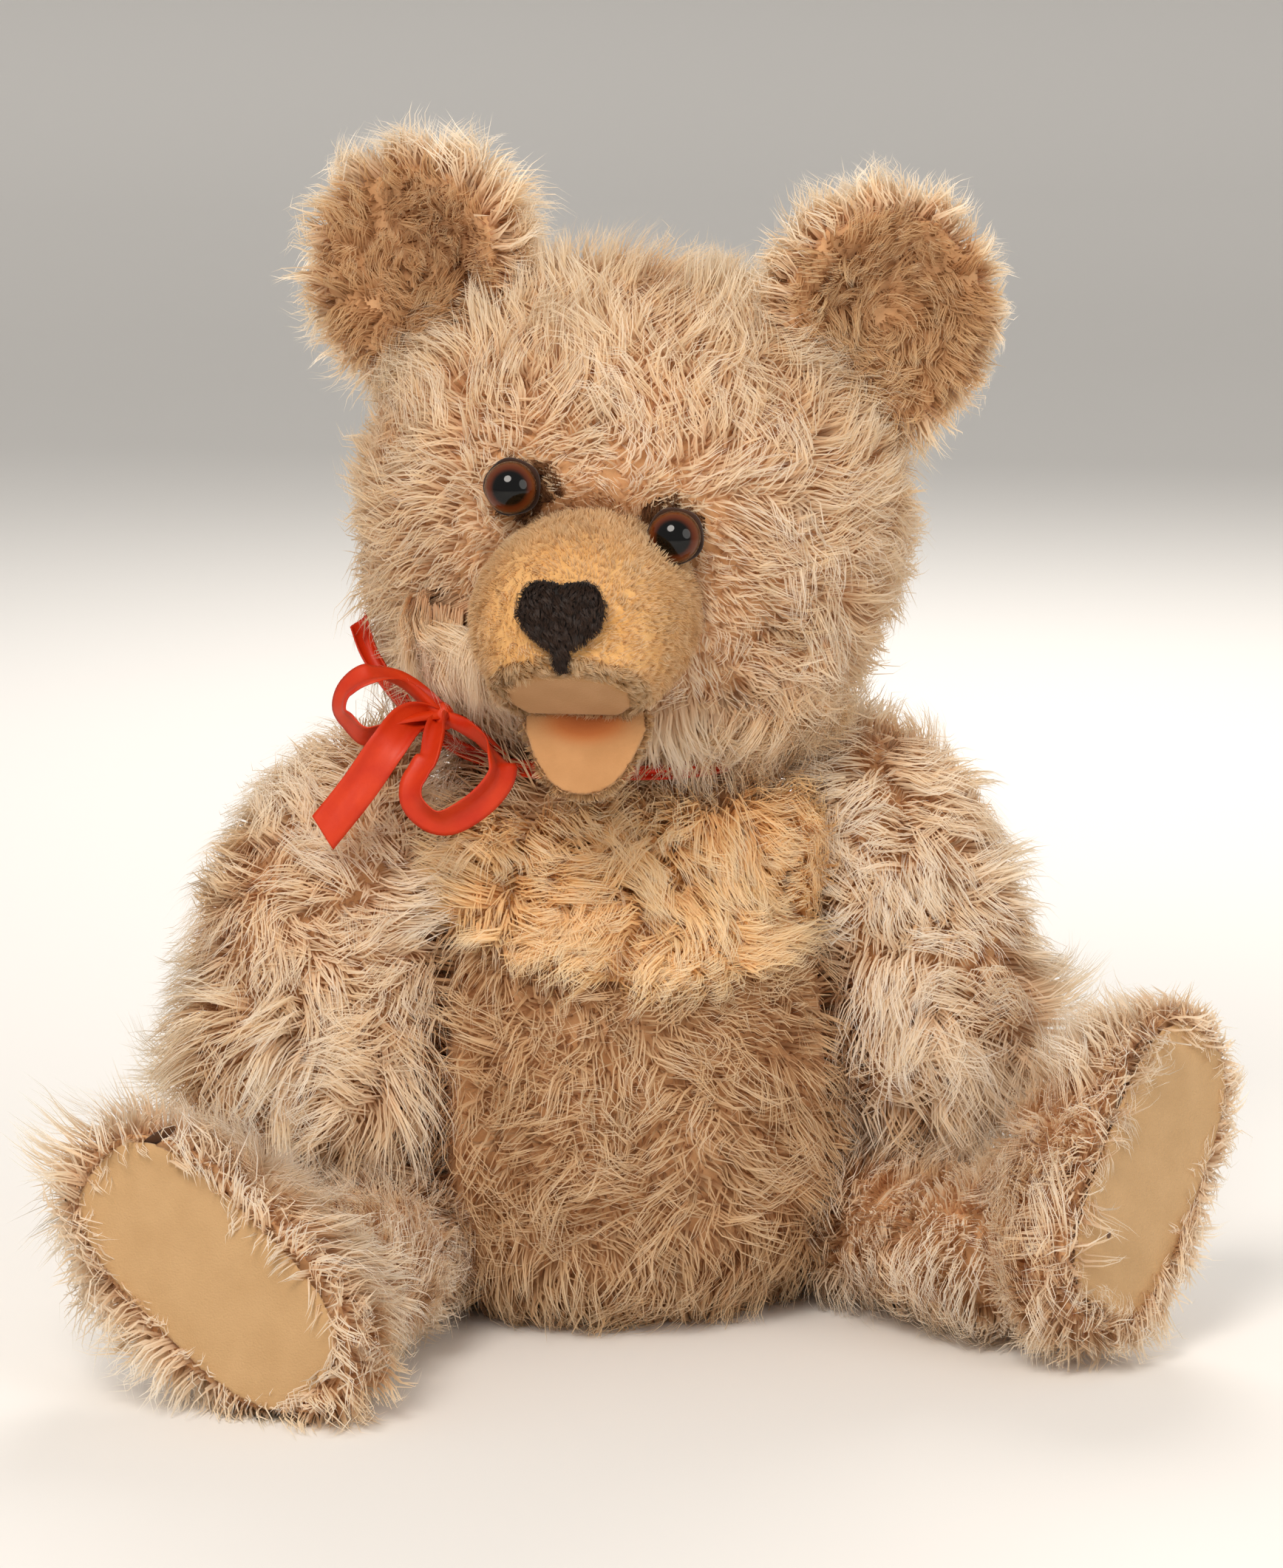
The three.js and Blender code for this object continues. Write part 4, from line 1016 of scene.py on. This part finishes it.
# %% Eyes
def eye_glass():
    material, tree, shader = new_material("blown_glass_amber", Roughness=0.06, IOR=1.5,
                                          Specular_IOR_Level=0.3)
    ring = add_node(tree, "ShaderNodeAttribute", attribute_name="from_axis")
    color = color_ramp(tree, ring.outputs["Fac"], [
        (0.0, "#020202"), (0.59, "#030202"), (0.64, "#220d05"), (0.76, "#54220a"), (0.9, "#63300f"),
        (1.0, "#100703"),
    ])
    tree.links.new(color, shader.inputs["Base Color"])
    return material


GLASS = eye_glass()
EYE_RADIUS, EYE_DEPTH = 0.008, 0.82
SOCKET_RADIUS, SOCKET_DEPTH, SOCKET_SUNK = 0.0088, 0.35, 0.004


def make_eye(word):
    obj, places = new_ball(f"eye_{word}_glass", 64, 32, EYE_RADIUS)
    gaze = Vector(unit(np.array(to_camera) * 0.6 + head_front * 0.4))
    from_axis = np.hypot(places[:, 0], places[:, 1]) / EYE_RADIUS
    from_axis = np.where(places[:, 2] > 0, from_axis, 1.0)
    attribute = obj.data.attributes.new("from_axis", "FLOAT", "POINT")
    attribute.data.foreach_set("value", from_axis.astype(np.float32))
    turn = np.array(gaze.to_track_quat("Z", "Y").to_matrix())
    places[:, 2] *= EYE_DEPTH
    place_vertices(obj, places @ turn.T + EYES[word])
    finish_piece(obj, GLASS, "head", f"eye_{word}")


# The socket cloth's near-black colour is partly stain and partly painted shade round the eye.
SOCKET_CLOTH = cloth_material("woven_ground_cloth_stained_and_shaded", "#1f1009", "#3a2010", 0.0007)


def make_socket(word):
    """The pulled-in cloth that rings the eye, a shallow dish behind the glass, near black: partly
    dark stain, partly painted shade of the deep socket.
    """
    obj, places = new_ball(f"eye_{word}_socket_cloth", 48, 24, SOCKET_RADIUS)
    gaze = Vector(unit(np.array(to_camera) * 0.35 + head_front * 0.65))
    turn = np.array(gaze.to_track_quat("Z", "Y").to_matrix())
    ragged = 1 + 0.025 * np.sin(5 * np.arctan2(places[:, 1], places[:, 0]) + len(word))
    places = places * np.array([1, 1, SOCKET_DEPTH]) * ragged[:, None]
    place_vertices(obj, places @ turn.T + EYES[word] - np.array(gaze) * SOCKET_SUNK)
    finish_piece(obj, SOCKET_CLOTH, "head")


for word in ("right", "left"):
    make_eye(word)
    make_socket(word)
print("eyes:", len(EYES))

# %% [markdown]
# ## Nose
# The nose is worked in floss over a pad, in upright stitches that wear fuzzy. The pad is the CAD
# nose, rounded, and the stitches are blades that lie along it with their ends standing a little.

# %% Nose
FLOSS_GROUND = cloth_material("embroidery_floss_under_stitches", "#0e0805", "#180e08", 0.0006, 0.6,
                              sheen=0.0)
nose_skin = stuffed_skin("nose_skin", "nose", 0.0008, 0.0, 4, "head", FLOSS_GROUND, "floss",
                         at_joints=False)
grow("nose_stitches", nose_skin, FLOSS, 51, 3800, 0.0034,
     lambda points, normals: DOWN, lambda points, normals: normals @ head_front > 0.1, rise=0.3,
     lock=0.003, wisp=0.001, gather=0.4, swirl=0.15, curl=0.1, width=0.00034, steps=2)

# %% [markdown]
# ## Torso and chest panel
# The pile of the body hangs down in long locks. The chest is a separate panel of golden mohair,
# let into the front. Where the bear sits, its pile is pressed flat, so none grows there.

# %% Torso and bib
torso_skin = stuffed_skin("torso_skin", "torso_coat", 0.0045, 0.003, 10, "torso", GROUND_CLOTH,
                          "mohair")
bib_skin = stuffed_skin("chest_bib_skin", "chest_bib", 0.003, 0.0015, 5, "torso", GOLDEN_GROUND,
                        "golden_mohair", at_joints=False)
bib_tree = surface_of(bib_skin)
DISC_REACH = 0.03


def clear_of_seats(points, margin):
    """False beside the flat face where a limb or the head is pressed against the body."""
    clear = np.ones(len(points), dtype=bool)
    for point, outward in SEATS:
        away = np.abs((points - point) @ outward)
        near = np.linalg.norm(points - point, axis=1) < DISC_REACH
        clear &= ~(near & (away < margin))
    return clear


def crowded(points):
    """Less pile is needed where the limbs hide the body's sides."""
    return np.where(np.abs(points[:, 0]) > 0.05, 0.6, np.where(points[:, 1] > 0.02, 0.8, 1.0))


def torso_allowed(points, normals):
    beside_bib = np.array([bib_tree.find_nearest(Vector(p))[3] < 0.0035 for p in points])
    free = (points[:, 2] > 0.004) & clear_of_seats(points, 0.003) & ~beside_bib
    return np.where(free, crowded(points), 0.0)


def hanging(points, normals):
    return DOWN + 0.25 * from_upright(points)


def torso_length(points, normals):
    return LONG_PILE + 0.006 * smooth_step(points[:, 2], 0.15, 0.172)


def torso_rise(points, normals):
    return 0.46 + 0.36 * smooth_step(normals[:, 2], 0.1, 0.8)


# The body's pile is the darker copy, and shade lowers its tone further: painted shade of the belly.
grow_both("torso", torso_skin, SHADED_BODY_MOHAIR, 61, 11000, 7300, torso_length, hanging, torso_allowed,
          torso_rise, shade=-0.15)


def bib_front(points, normals):
    return np.sum(normals * from_upright(points), axis=1) > 0.3


def bib_length(points, normals):
    return 0.0225 + 0.008 * smooth_step(points[:, 2], 0.148, 0.162)


def bib_rise(points, normals):
    return 0.46 + 0.22 * smooth_step(points[:, 2], 0.148, 0.162)


# shade=0.3 pales the chest's pile further: painted light against the shadow under the chin.
grow_both("chest_bib", bib_skin, GOLDEN_MOHAIR_WITH_PAINTED_LIGHT, 63, 5200, 2400, bib_length, hanging, bib_front,
          bib_rise, shade=0.3)

# %% [markdown]
# ## Arms
# The arms hang forward a little from the shoulder discs. Their pile runs down to the paws and
# crosses itself in swirls. The felt paw pads lie under the hands.

# %% Arms
def limb_joint(name, side):
    """A limb's joint and its direction out of the body."""
    point, axis = JOINTS[name]
    return point, axis * np.sign(axis[0] * side)


def on_disc(points, point, outward):
    """True on the face of a limb that is pressed against the body."""
    near = np.linalg.norm(points - point, axis=1) < DISC_REACH
    return ((points - point) @ outward < 0.0045) & near


def make_arm(word, side, seed):
    point, outward = limb_joint(f"shoulder_{word}", side)

    def corner(points):
        """How near the shoulder's outer corner a point lies, where the pile lies down."""
        offset = points - point
        return smooth_step(offset[:, 2], -0.02, 0.012) * smooth_step(offset @ outward, 0.014, 0.032)

    def full(points, normals):
        """The shoulder's top, and the right arm's outer side, are stuffed fuller than the CAD's."""
        outer = smooth_step(normals @ outward, 0.4, 0.9) * (side < 0)
        top = smooth_step(normals[:, 2], 0.2, 0.9)
        return (0.004 * top + 0.0055 * outer) * (1 - corner(points))

    skin = stuffed_skin(f"arm_{word}_skin", f"arm_{word}", 0.004, 0.003, 8, f"{word}_arm",
                        GROUND_CLOTH, "mohair", swell=full)
    pad_middle = node_points(f"paw_pad_{word}").mean(axis=0)
    down = np.array([side * 0.165, -0.309, -0.937])

    def allowed(points, normals):
        bare = np.linalg.norm(points - pad_middle, axis=1) < 0.0165
        bare |= on_disc(points, point, outward)
        return np.where(bare, 0.0, np.where(normals @ outward < -0.6, 0.6, 1.0))

    def lay(points, normals):
        away = points - (point + outward * 0.03)
        return down + 0.35 * unit(away) + 0.2 * DOWN

    def reach(points, normals):
        low = smooth_step((points - point) @ down, 0.045, 0.08)
        top = smooth_step(normals[:, 2], 0.3, 0.9) * (1 - corner(points))
        return LONG_PILE + 0.017 * low + 0.004 * top

    def rise(points, normals):
        top = smooth_step(normals[:, 2], 0.1, 0.8)
        outer = smooth_step(normals @ outward, 0.4, 0.95)
        spread = np.maximum(top, outer * (1.0 if side < 0 else 0.2))
        return 0.5 + 0.26 * spread - 0.25 * corner(points)

    grow_both(f"arm_{word}", skin, MOHAIR, seed, 7900, 4200, reach, lay, allowed, rise,
              swirl=1.25, curl=1.3, shade=0.02 + 0.1 * side)


make_arm("right", -1, 71)
make_arm("left", 1, 81)

# %% [markdown]
# ## Legs and feet
# The legs lie forward and outward, and the feet turn up and lean apart. Round each sole the pile
# stands out like a ruff, and shorter pile along the felt's edge leans in over it.

# %% Legs
def sole_frame(word):
    """The middle of a sole, and the directions out of it, up along it and across it."""
    corners = node_points(f"foot_pad_{word}")
    centre = corners.mean(axis=0)
    _, _, axes = np.linalg.svd(corners - centre, full_matrices=False)
    normal = axes[2] if axes[2][1] < 0 else -axes[2]
    long = axes[0] if axes[0][2] > 0 else -axes[0]
    return centre, normal, long, np.cross(normal, long)


SOLE_LONG, SOLE_WIDE, SOLE_SQUARE = 0.0475, 0.023, 3.1
FELT_EDGE = -0.0012
LEG_SPREAD = math.radians(22)


def sole_reach(offset, long, wide, margin=0.0):
    """Below 1 inside the outline of a sole, which is squarer than an ellipse."""
    return (np.abs(offset @ long / (SOLE_LONG + margin)) ** SOLE_SQUARE
            + np.abs(offset @ wide / (SOLE_WIDE + margin)) ** SOLE_SQUARE)


def make_leg(word, side, seed):
    skin = stuffed_skin(f"leg_{word}_skin", f"leg_{word}", 0.004, 0.003, 7, f"{word}_leg",
                        GROUND_CLOTH, "mohair")
    centre, normal, long, wide = sole_frame(word)
    places = arrays(skin)[0]
    offset = places - centre
    inside = sole_reach(offset, long, wide, 0.004) < 1
    high = np.maximum(offset @ normal + 0.0022, 0) * inside
    place_vertices(skin, places - normal * high[:, None])
    point, outward = limb_joint(f"hip_{word}", side)
    ahead = np.array([side * math.sin(LEG_SPREAD), -math.cos(LEG_SPREAD), 0])

    def outer_edge(points):
        """How near the foot's outer side a point lies, from 0 to 1."""
        foot = smooth_step((points - centre) @ normal, -0.05, -0.015)
        return foot * smooth_step((points - centre)[:, 0] * side, 0.006, 0.024)

    def allowed(points, normals):
        offset = points - centre
        bare = (sole_reach(offset, long, wide, FELT_EDGE) < 1) & (offset @ normal > -0.006)
        bare |= (side < 0) & (np.linalg.norm(points - seam_place("right"), axis=1) < 0.0095)
        bare |= on_disc(points, point, outward) | (points[:, 2] < 0.0015)
        return np.where(bare, 0.0, np.where(points[:, 2] < 0.012, 0.6, 1.0))

    def lay(points, normals):
        offset = points - centre
        foot = smooth_step(offset @ normal, -0.05, -0.015)[:, None]
        ruff = unit(flattened(offset, normal)) + 0.45 * normal
        return (ahead + 0.5 * DOWN) * (1 - foot) + ruff * foot

    def reach(points, normals):
        return LONG_PILE + (0.0065 if side < 0 else -0.0075) * outer_edge(points)

    def rise(points, normals):
        high = smooth_step(normals[:, 2], 0.3, 0.9)
        if side < 0:
            return 0.5 + 0.22 * outer_edge(points) + 0.1 * high
        return np.maximum(0.52 + 0.2 * high - 0.3 * outer_edge(points), 0.2)

    grow_both(f"leg_{word}", skin, MOHAIR, seed, 9400, 5200, reach, lay, allowed, rise,
              swirl=1.2, curl=1.6, gather=0.42, shade=0.25)

    def edge(points, normals):
        offset = points - centre
        beyond = sole_reach(offset, long, wide, FELT_EDGE) > 1
        beside = sole_reach(offset, long, wide, 0.0035) < 1
        return beyond & beside & (offset @ normal > -0.008)

    def inward(points, normals):
        return normal - unit(flattened(points - centre, normal))

    grow(f"leg_{word}_felt_edge_pile", skin, MOHAIR, seed + 7, 900, 0.0125, inward, edge, 0.6,
         lock=0.007, wisp=0.0025, gather=0.5, steps=3, shade=0.3)


def seam_place(word):
    """Where the seam above the toe has opened, at the corner of the sole."""
    centre, normal, long, wide = sole_frame(word)
    return centre + long * 0.0425 + wide * np.sign(wide[2]) * 0.0245 - normal * 0.002


def make_seam_opening(word):
    """A lens of stuffing between the lips of the opened seam, dark as painted shade inside the
    opening.
    """
    _, _, long, wide = sole_frame(word)
    skin = surface_of(bpy.data.objects[f"leg_{word}_skin"])
    place, outward, _, _ = skin.find_nearest(Vector(seam_place(word)))
    outward = np.array(outward)
    along = wide * np.sign(wide[2]) - 0.35 * long
    along = unit(along - outward * (along @ outward))
    obj, places = new_ball(f"seam_opening_{word}", 32, 12, 1)
    half = np.stack([along * 0.0068, np.cross(outward, along) * 0.0016, outward * 0.0012])
    place_vertices(obj, places @ half + np.array(place))
    # The stuffing's dark colour is painted shade inside the opened seam.
    stuffing = cloth_material("wood_wool_in_shadow", "#2e1a0d", "#5c3a20", 0.0008)
    finish_piece(obj, stuffing, f"{word}_leg")


def make_speck(word):
    """A drop of old varnish, 2 mm wide, on the felt of the sole."""
    centre, normal, long, wide = sole_frame(word)
    above = centre + normal * 0.02 - long * 0.026 - wide * np.sign(wide[0]) * 0.008
    felt = surface_of(bpy.data.objects[f"foot_pad_{word}_felt"])
    place = np.array(felt.ray_cast(Vector(above), Vector(-normal))[0])
    obj, places = new_ball(f"sole_speck_{word}", 16, 8, 1)
    half = np.stack([wide * 0.0009, long * 0.0011, normal * 0.0003])
    place_vertices(obj, places @ half + place)
    obj.data.materials.append(new_material("dried_varnish_drop", Roughness=0.5,
                                           Base_Color=linear("#5a3a1e"))[0])
    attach(obj, f"{word}_leg")


make_leg("right", -1, 91)
make_leg("left", 1, 101)
make_seam_opening("right")
make_speck("left")

# %% [markdown]
# ## Ribbon
# The bow is 11.5 mm satin ribbon, woven tight and calendered: it is smooth and takes a soft shine,
# and it holds every crease. Each length is a grid swept along a curve, cupped a little across,
# and given the thickness of the cloth.

# %% Ribbon
def satin_material():
    material, tree, shader = new_material("woven_satin_ribbon", Roughness=0.5,
                                          Specular_IOR_Level=0.35)
    place = add_node(tree, "ShaderNodeTexCoord")
    color = color_ramp(tree, noise(tree, place, 90.0, 4.0), [(0.3, "#b92503"), (0.7, "#cd3808")])
    tree.links.new(color, shader.inputs["Base Color"])
    add_relief(tree, shader, noise(tree, place, 1600.0, 2.0), 0.12, 0.0003)
    return material


SATIN = satin_material()


def spline(points, count):
    """Evenly spaced points on a smooth curve through the given ones, in metres."""
    knots = np.array(points, dtype=float) * MM
    padded = np.vstack([2 * knots[0] - knots[1], knots, 2 * knots[-1] - knots[-2]])
    fine = []
    for k in range(len(knots) - 1):
        a, b, c, d = padded[k:k + 4]
        for t in np.linspace(0, 1, 24, endpoint=False):
            fine.append(0.5 * (2 * b + (c - a) * t + (2 * a - 5 * b + 4 * c - d) * t ** 2
                               + (3 * b - a - 3 * c + d) * t ** 3))
    fine = np.array(fine + [knots[-1]])
    walked = np.concatenate([[0], np.cumsum(np.linalg.norm(np.diff(fine, axis=0), axis=1))])
    wanted = np.linspace(0, walked[-1], count)
    return np.stack([np.interp(wanted, walked, fine[:, k]) for k in range(3)], axis=1), walked[-1]


RIBBON_WIDTH = 0.0115
RIBBON_THICKNESS = 0.00035
NECK_RADIUS, NECK_HEIGHT, COLLAR_LENGTH = 0.0464, 0.1765, 0.295
KNOT_RADIUS = 0.0038


def ribbon_piece(name, grid, closed):
    """The cloth of one length of ribbon, from rows of points across it."""
    rows, columns = grid.shape[:2]
    faces = []
    for i in range(rows if closed else rows - 1):
        for j in range(columns - 1):
            a, b = i * columns + j, ((i + 1) % rows) * columns + j
            faces.append((a, a + 1, b + 1, b))
    mesh = bpy.data.meshes.new(name)
    mesh.from_pydata(grid.reshape(-1, 3).tolist(), [], faces)
    obj = link_mesh(name, mesh)
    add_modifier(obj, "SOLIDIFY", thickness=RIBBON_THICKNESS, offset=0)
    apply_all(obj)
    finish_piece(obj, SATIN, "torso", "neck_ribbon")
    return obj


def along_share(values, share):
    values = np.array(values, dtype=float)
    places = np.linspace(0, 1, len(values))
    columns = np.atleast_2d(values.T)
    return np.stack([np.interp(share, places, column) for column in columns], axis=-1)


def ribbon_strip(name, points, curls, facings, seed, slant=0.0):
    """A length of ribbon along a curve.

    facings turn its face, and without them it stands on edge and faces out of its loop. curls say
    how far its edges bend up, in degrees, where it is gathered: it keeps its whole width across
    the bend. slant cuts its end on the skew.
    """
    line, length = spline(points, 84)
    share = np.linspace(0, 1, len(line))
    if facings is None:
        facing = unit(line - line.mean(axis=0)) + 0.38 * np.array(FRONT)
    else:
        facing = along_share(facings, share)
    bend = np.radians(along_share(curls, share)[:, 0])[:, None] / (RIBBON_WIDTH / 2)
    bend = np.where(np.abs(bend) < 1, 1.0, bend)
    ahead = unit(np.gradient(line, axis=0))
    across = unit(np.cross(ahead, facing))
    normal = np.cross(across, ahead)
    draw = np.random.default_rng(seed)
    phase = draw.uniform(0, 6.28, 2)
    s = np.linspace(-0.5, 0.5, 9)[None, :] * RIBBON_WIDTH
    aside = np.sin(bend * s) / bend
    lift = (1 - np.cos(bend * s)) / bend
    lift = lift - lift.mean(axis=1, keepdims=True)
    lift += 0.0003 * np.sin(s * 900 + share[:, None] * 4 + phase[0])
    lift += 0.0004 * np.sin(s * 500 - share[:, None] * 6 + phase[1])
    grid = line[:, None] + across[:, None] * aside[..., None] + normal[:, None] * lift[..., None]
    skew = slant * smooth_step(share, 0.75, 1.0)[:, None] * s / RIBBON_WIDTH
    grid = grid + ahead[:, None] * skew[..., None]
    obj = ribbon_piece(name, grid, closed=False)
    print(name, round(length * 1000), "mm long")


TIED = tuple(KNOT / MM)
FRONT = (-0.21, -0.96, 0.17)
ribbon_strip("bow_left_loop", [
    TIED, (-73.6, -45, 207), (-84.5, -48, 210), (-91.6, -46, 206), (-93.9, -46, 200),
    (-91.3, -47, 196), (-86.6, -50, 192), (-79, -49, 194), TIED,
], [150, 80, 30, 20, 20, 40, 80, 150], None, 1)
ribbon_strip("bow_right_loop", [
    TIED, (-65, -55, 196), (-68.5, -66, 189), (-72.2, -68, 184), (-75.4, -70, 179),
    (-75, -72, 174), (-70, -74, 169.5), (-64.3, -76, 170), (-56, -79, 176), (-50.5, -79, 183),
    (-50.5, -76, 188), (-54, -58, 192), TIED,
], [150, 70, 40, 30, 25, 30, 60, 150], None, 2)
ribbon_strip("bow_broad_tail", [
    TIED, (-72.5, -51, 197), (-81, -58, 190), (-90, -57, 177), (-101, -55, 163),
], [140, 40, 15, 8, 8], [FRONT] * 2, 3, slant=-0.004)
ribbon_strip("bow_stray_tail", [
    (-40.5, -23.6, 177), (-54, -22, 183), (-66, -11, 193), (-75.5, 3, 207), (-79.5, 7, 219),
], [140, 140, 130, 110], [(-0.7, -0.6, 0.4), FRONT, FRONT], 4, slant=0.003)
ribbon_strip("bow_neck_lead", [(-39, -24, 178), (-51, -32, 190), TIED], [150, 150, 160],
             [(-0.3, -0.9, 0.3), FRONT], 5)


def make_collar():
    """Round the neck the ribbon is gathered into lengthwise folds by the pull of the knot."""
    angle = np.linspace(0, 2 * math.pi, 120, endpoint=False)[:, None]
    u = np.linspace(-1, 1, 12)[None, :]
    folds = 0.0015 * np.sin(4.6 * u + 0.5 * np.sin(3 * angle)) * (0.8 + 0.2 * np.sin(7 * angle))
    radius = NECK_RADIUS + folds
    height = NECK_HEIGHT + u * (0.0021 + 0.0003 * np.sin(5 * angle + 1))
    grid = np.stack([radius * np.cos(angle), radius * np.sin(angle), height + 0 * angle], axis=-1)
    obj = ribbon_piece("bow_collar", grid, closed=True)


make_collar()


def make_knot():
    bpy.ops.object.select_all(action="DESELECT")
    bpy.ops.mesh.primitive_ico_sphere_add(subdivisions=4, radius=KNOT_RADIUS)
    obj = bpy.context.object
    obj.name = "bow_knot"
    places = arrays(obj)[0]
    fold = 0.0007 * np.sin(places[:, 0] * 1400 + places[:, 2] * 500)
    place_vertices(obj, places * (1 + fold[:, None] * 60) * np.array([0.9, 0.9, 1.15]) + KNOT)
    finish_piece(obj, SATIN, "torso", "neck_ribbon")


make_knot()

# %% [markdown]
# ## Joint hardware
# The discs, washers and pins lie inside the coats. Their CAD shapes are right, so they stay and
# only get their finish: pressed brown fibreboard, plain steel and drawn wire.

# %% Hardware finishes
FIBREBOARD = cloth_material("pressed_fibreboard", "#735335", "#94704a", 0.0012, roughness=0.8,
                            sheen=0.0)


def steel_material(name, code, roughness):
    material, tree, shader = new_material(name, Metallic=1.0, Roughness=roughness)
    place = add_node(tree, "ShaderNodeTexCoord")
    color = color_ramp(tree, noise(tree, place, 300.0, 4.0), [(0.35, "#8f9194"), (0.7, code)])
    tree.links.new(color, shader.inputs["Base Color"])
    return material


STEEL = steel_material("rolled_steel", "#b4b6b9", 0.38)
WIRE = steel_material("drawn_steel_wire", "#a2a4a7", 0.3)
for node_name, obj in CAD.items():
    finish = None
    if node_name.endswith("_disc"):
        finish = FIBREBOARD
    elif node_name.endswith(("_washer", "_cotter_pin")):
        finish = STEEL
    elif "shank" in node_name:
        finish = WIRE
    if finish:
        for slot in obj.material_slots:
            slot.material = finish
print("hardware finished")

# %% Sizes and finish
VISUAL_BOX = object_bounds()
for axis in range(3):
    side = CAD_BOX[1][axis] - CAD_BOX[0][axis]
    room = 0.03 * side + 0.01
    low = CAD_BOX[0][axis] - VISUAL_BOX[0][axis]
    high = VISUAL_BOX[1][axis] - CAD_BOX[1][axis]
    print("XYZ"[axis], "past the CAD box in mm:", [round(v * 1000, 1) for v in (low, high)], "of",
          round(room * 1000, 1))
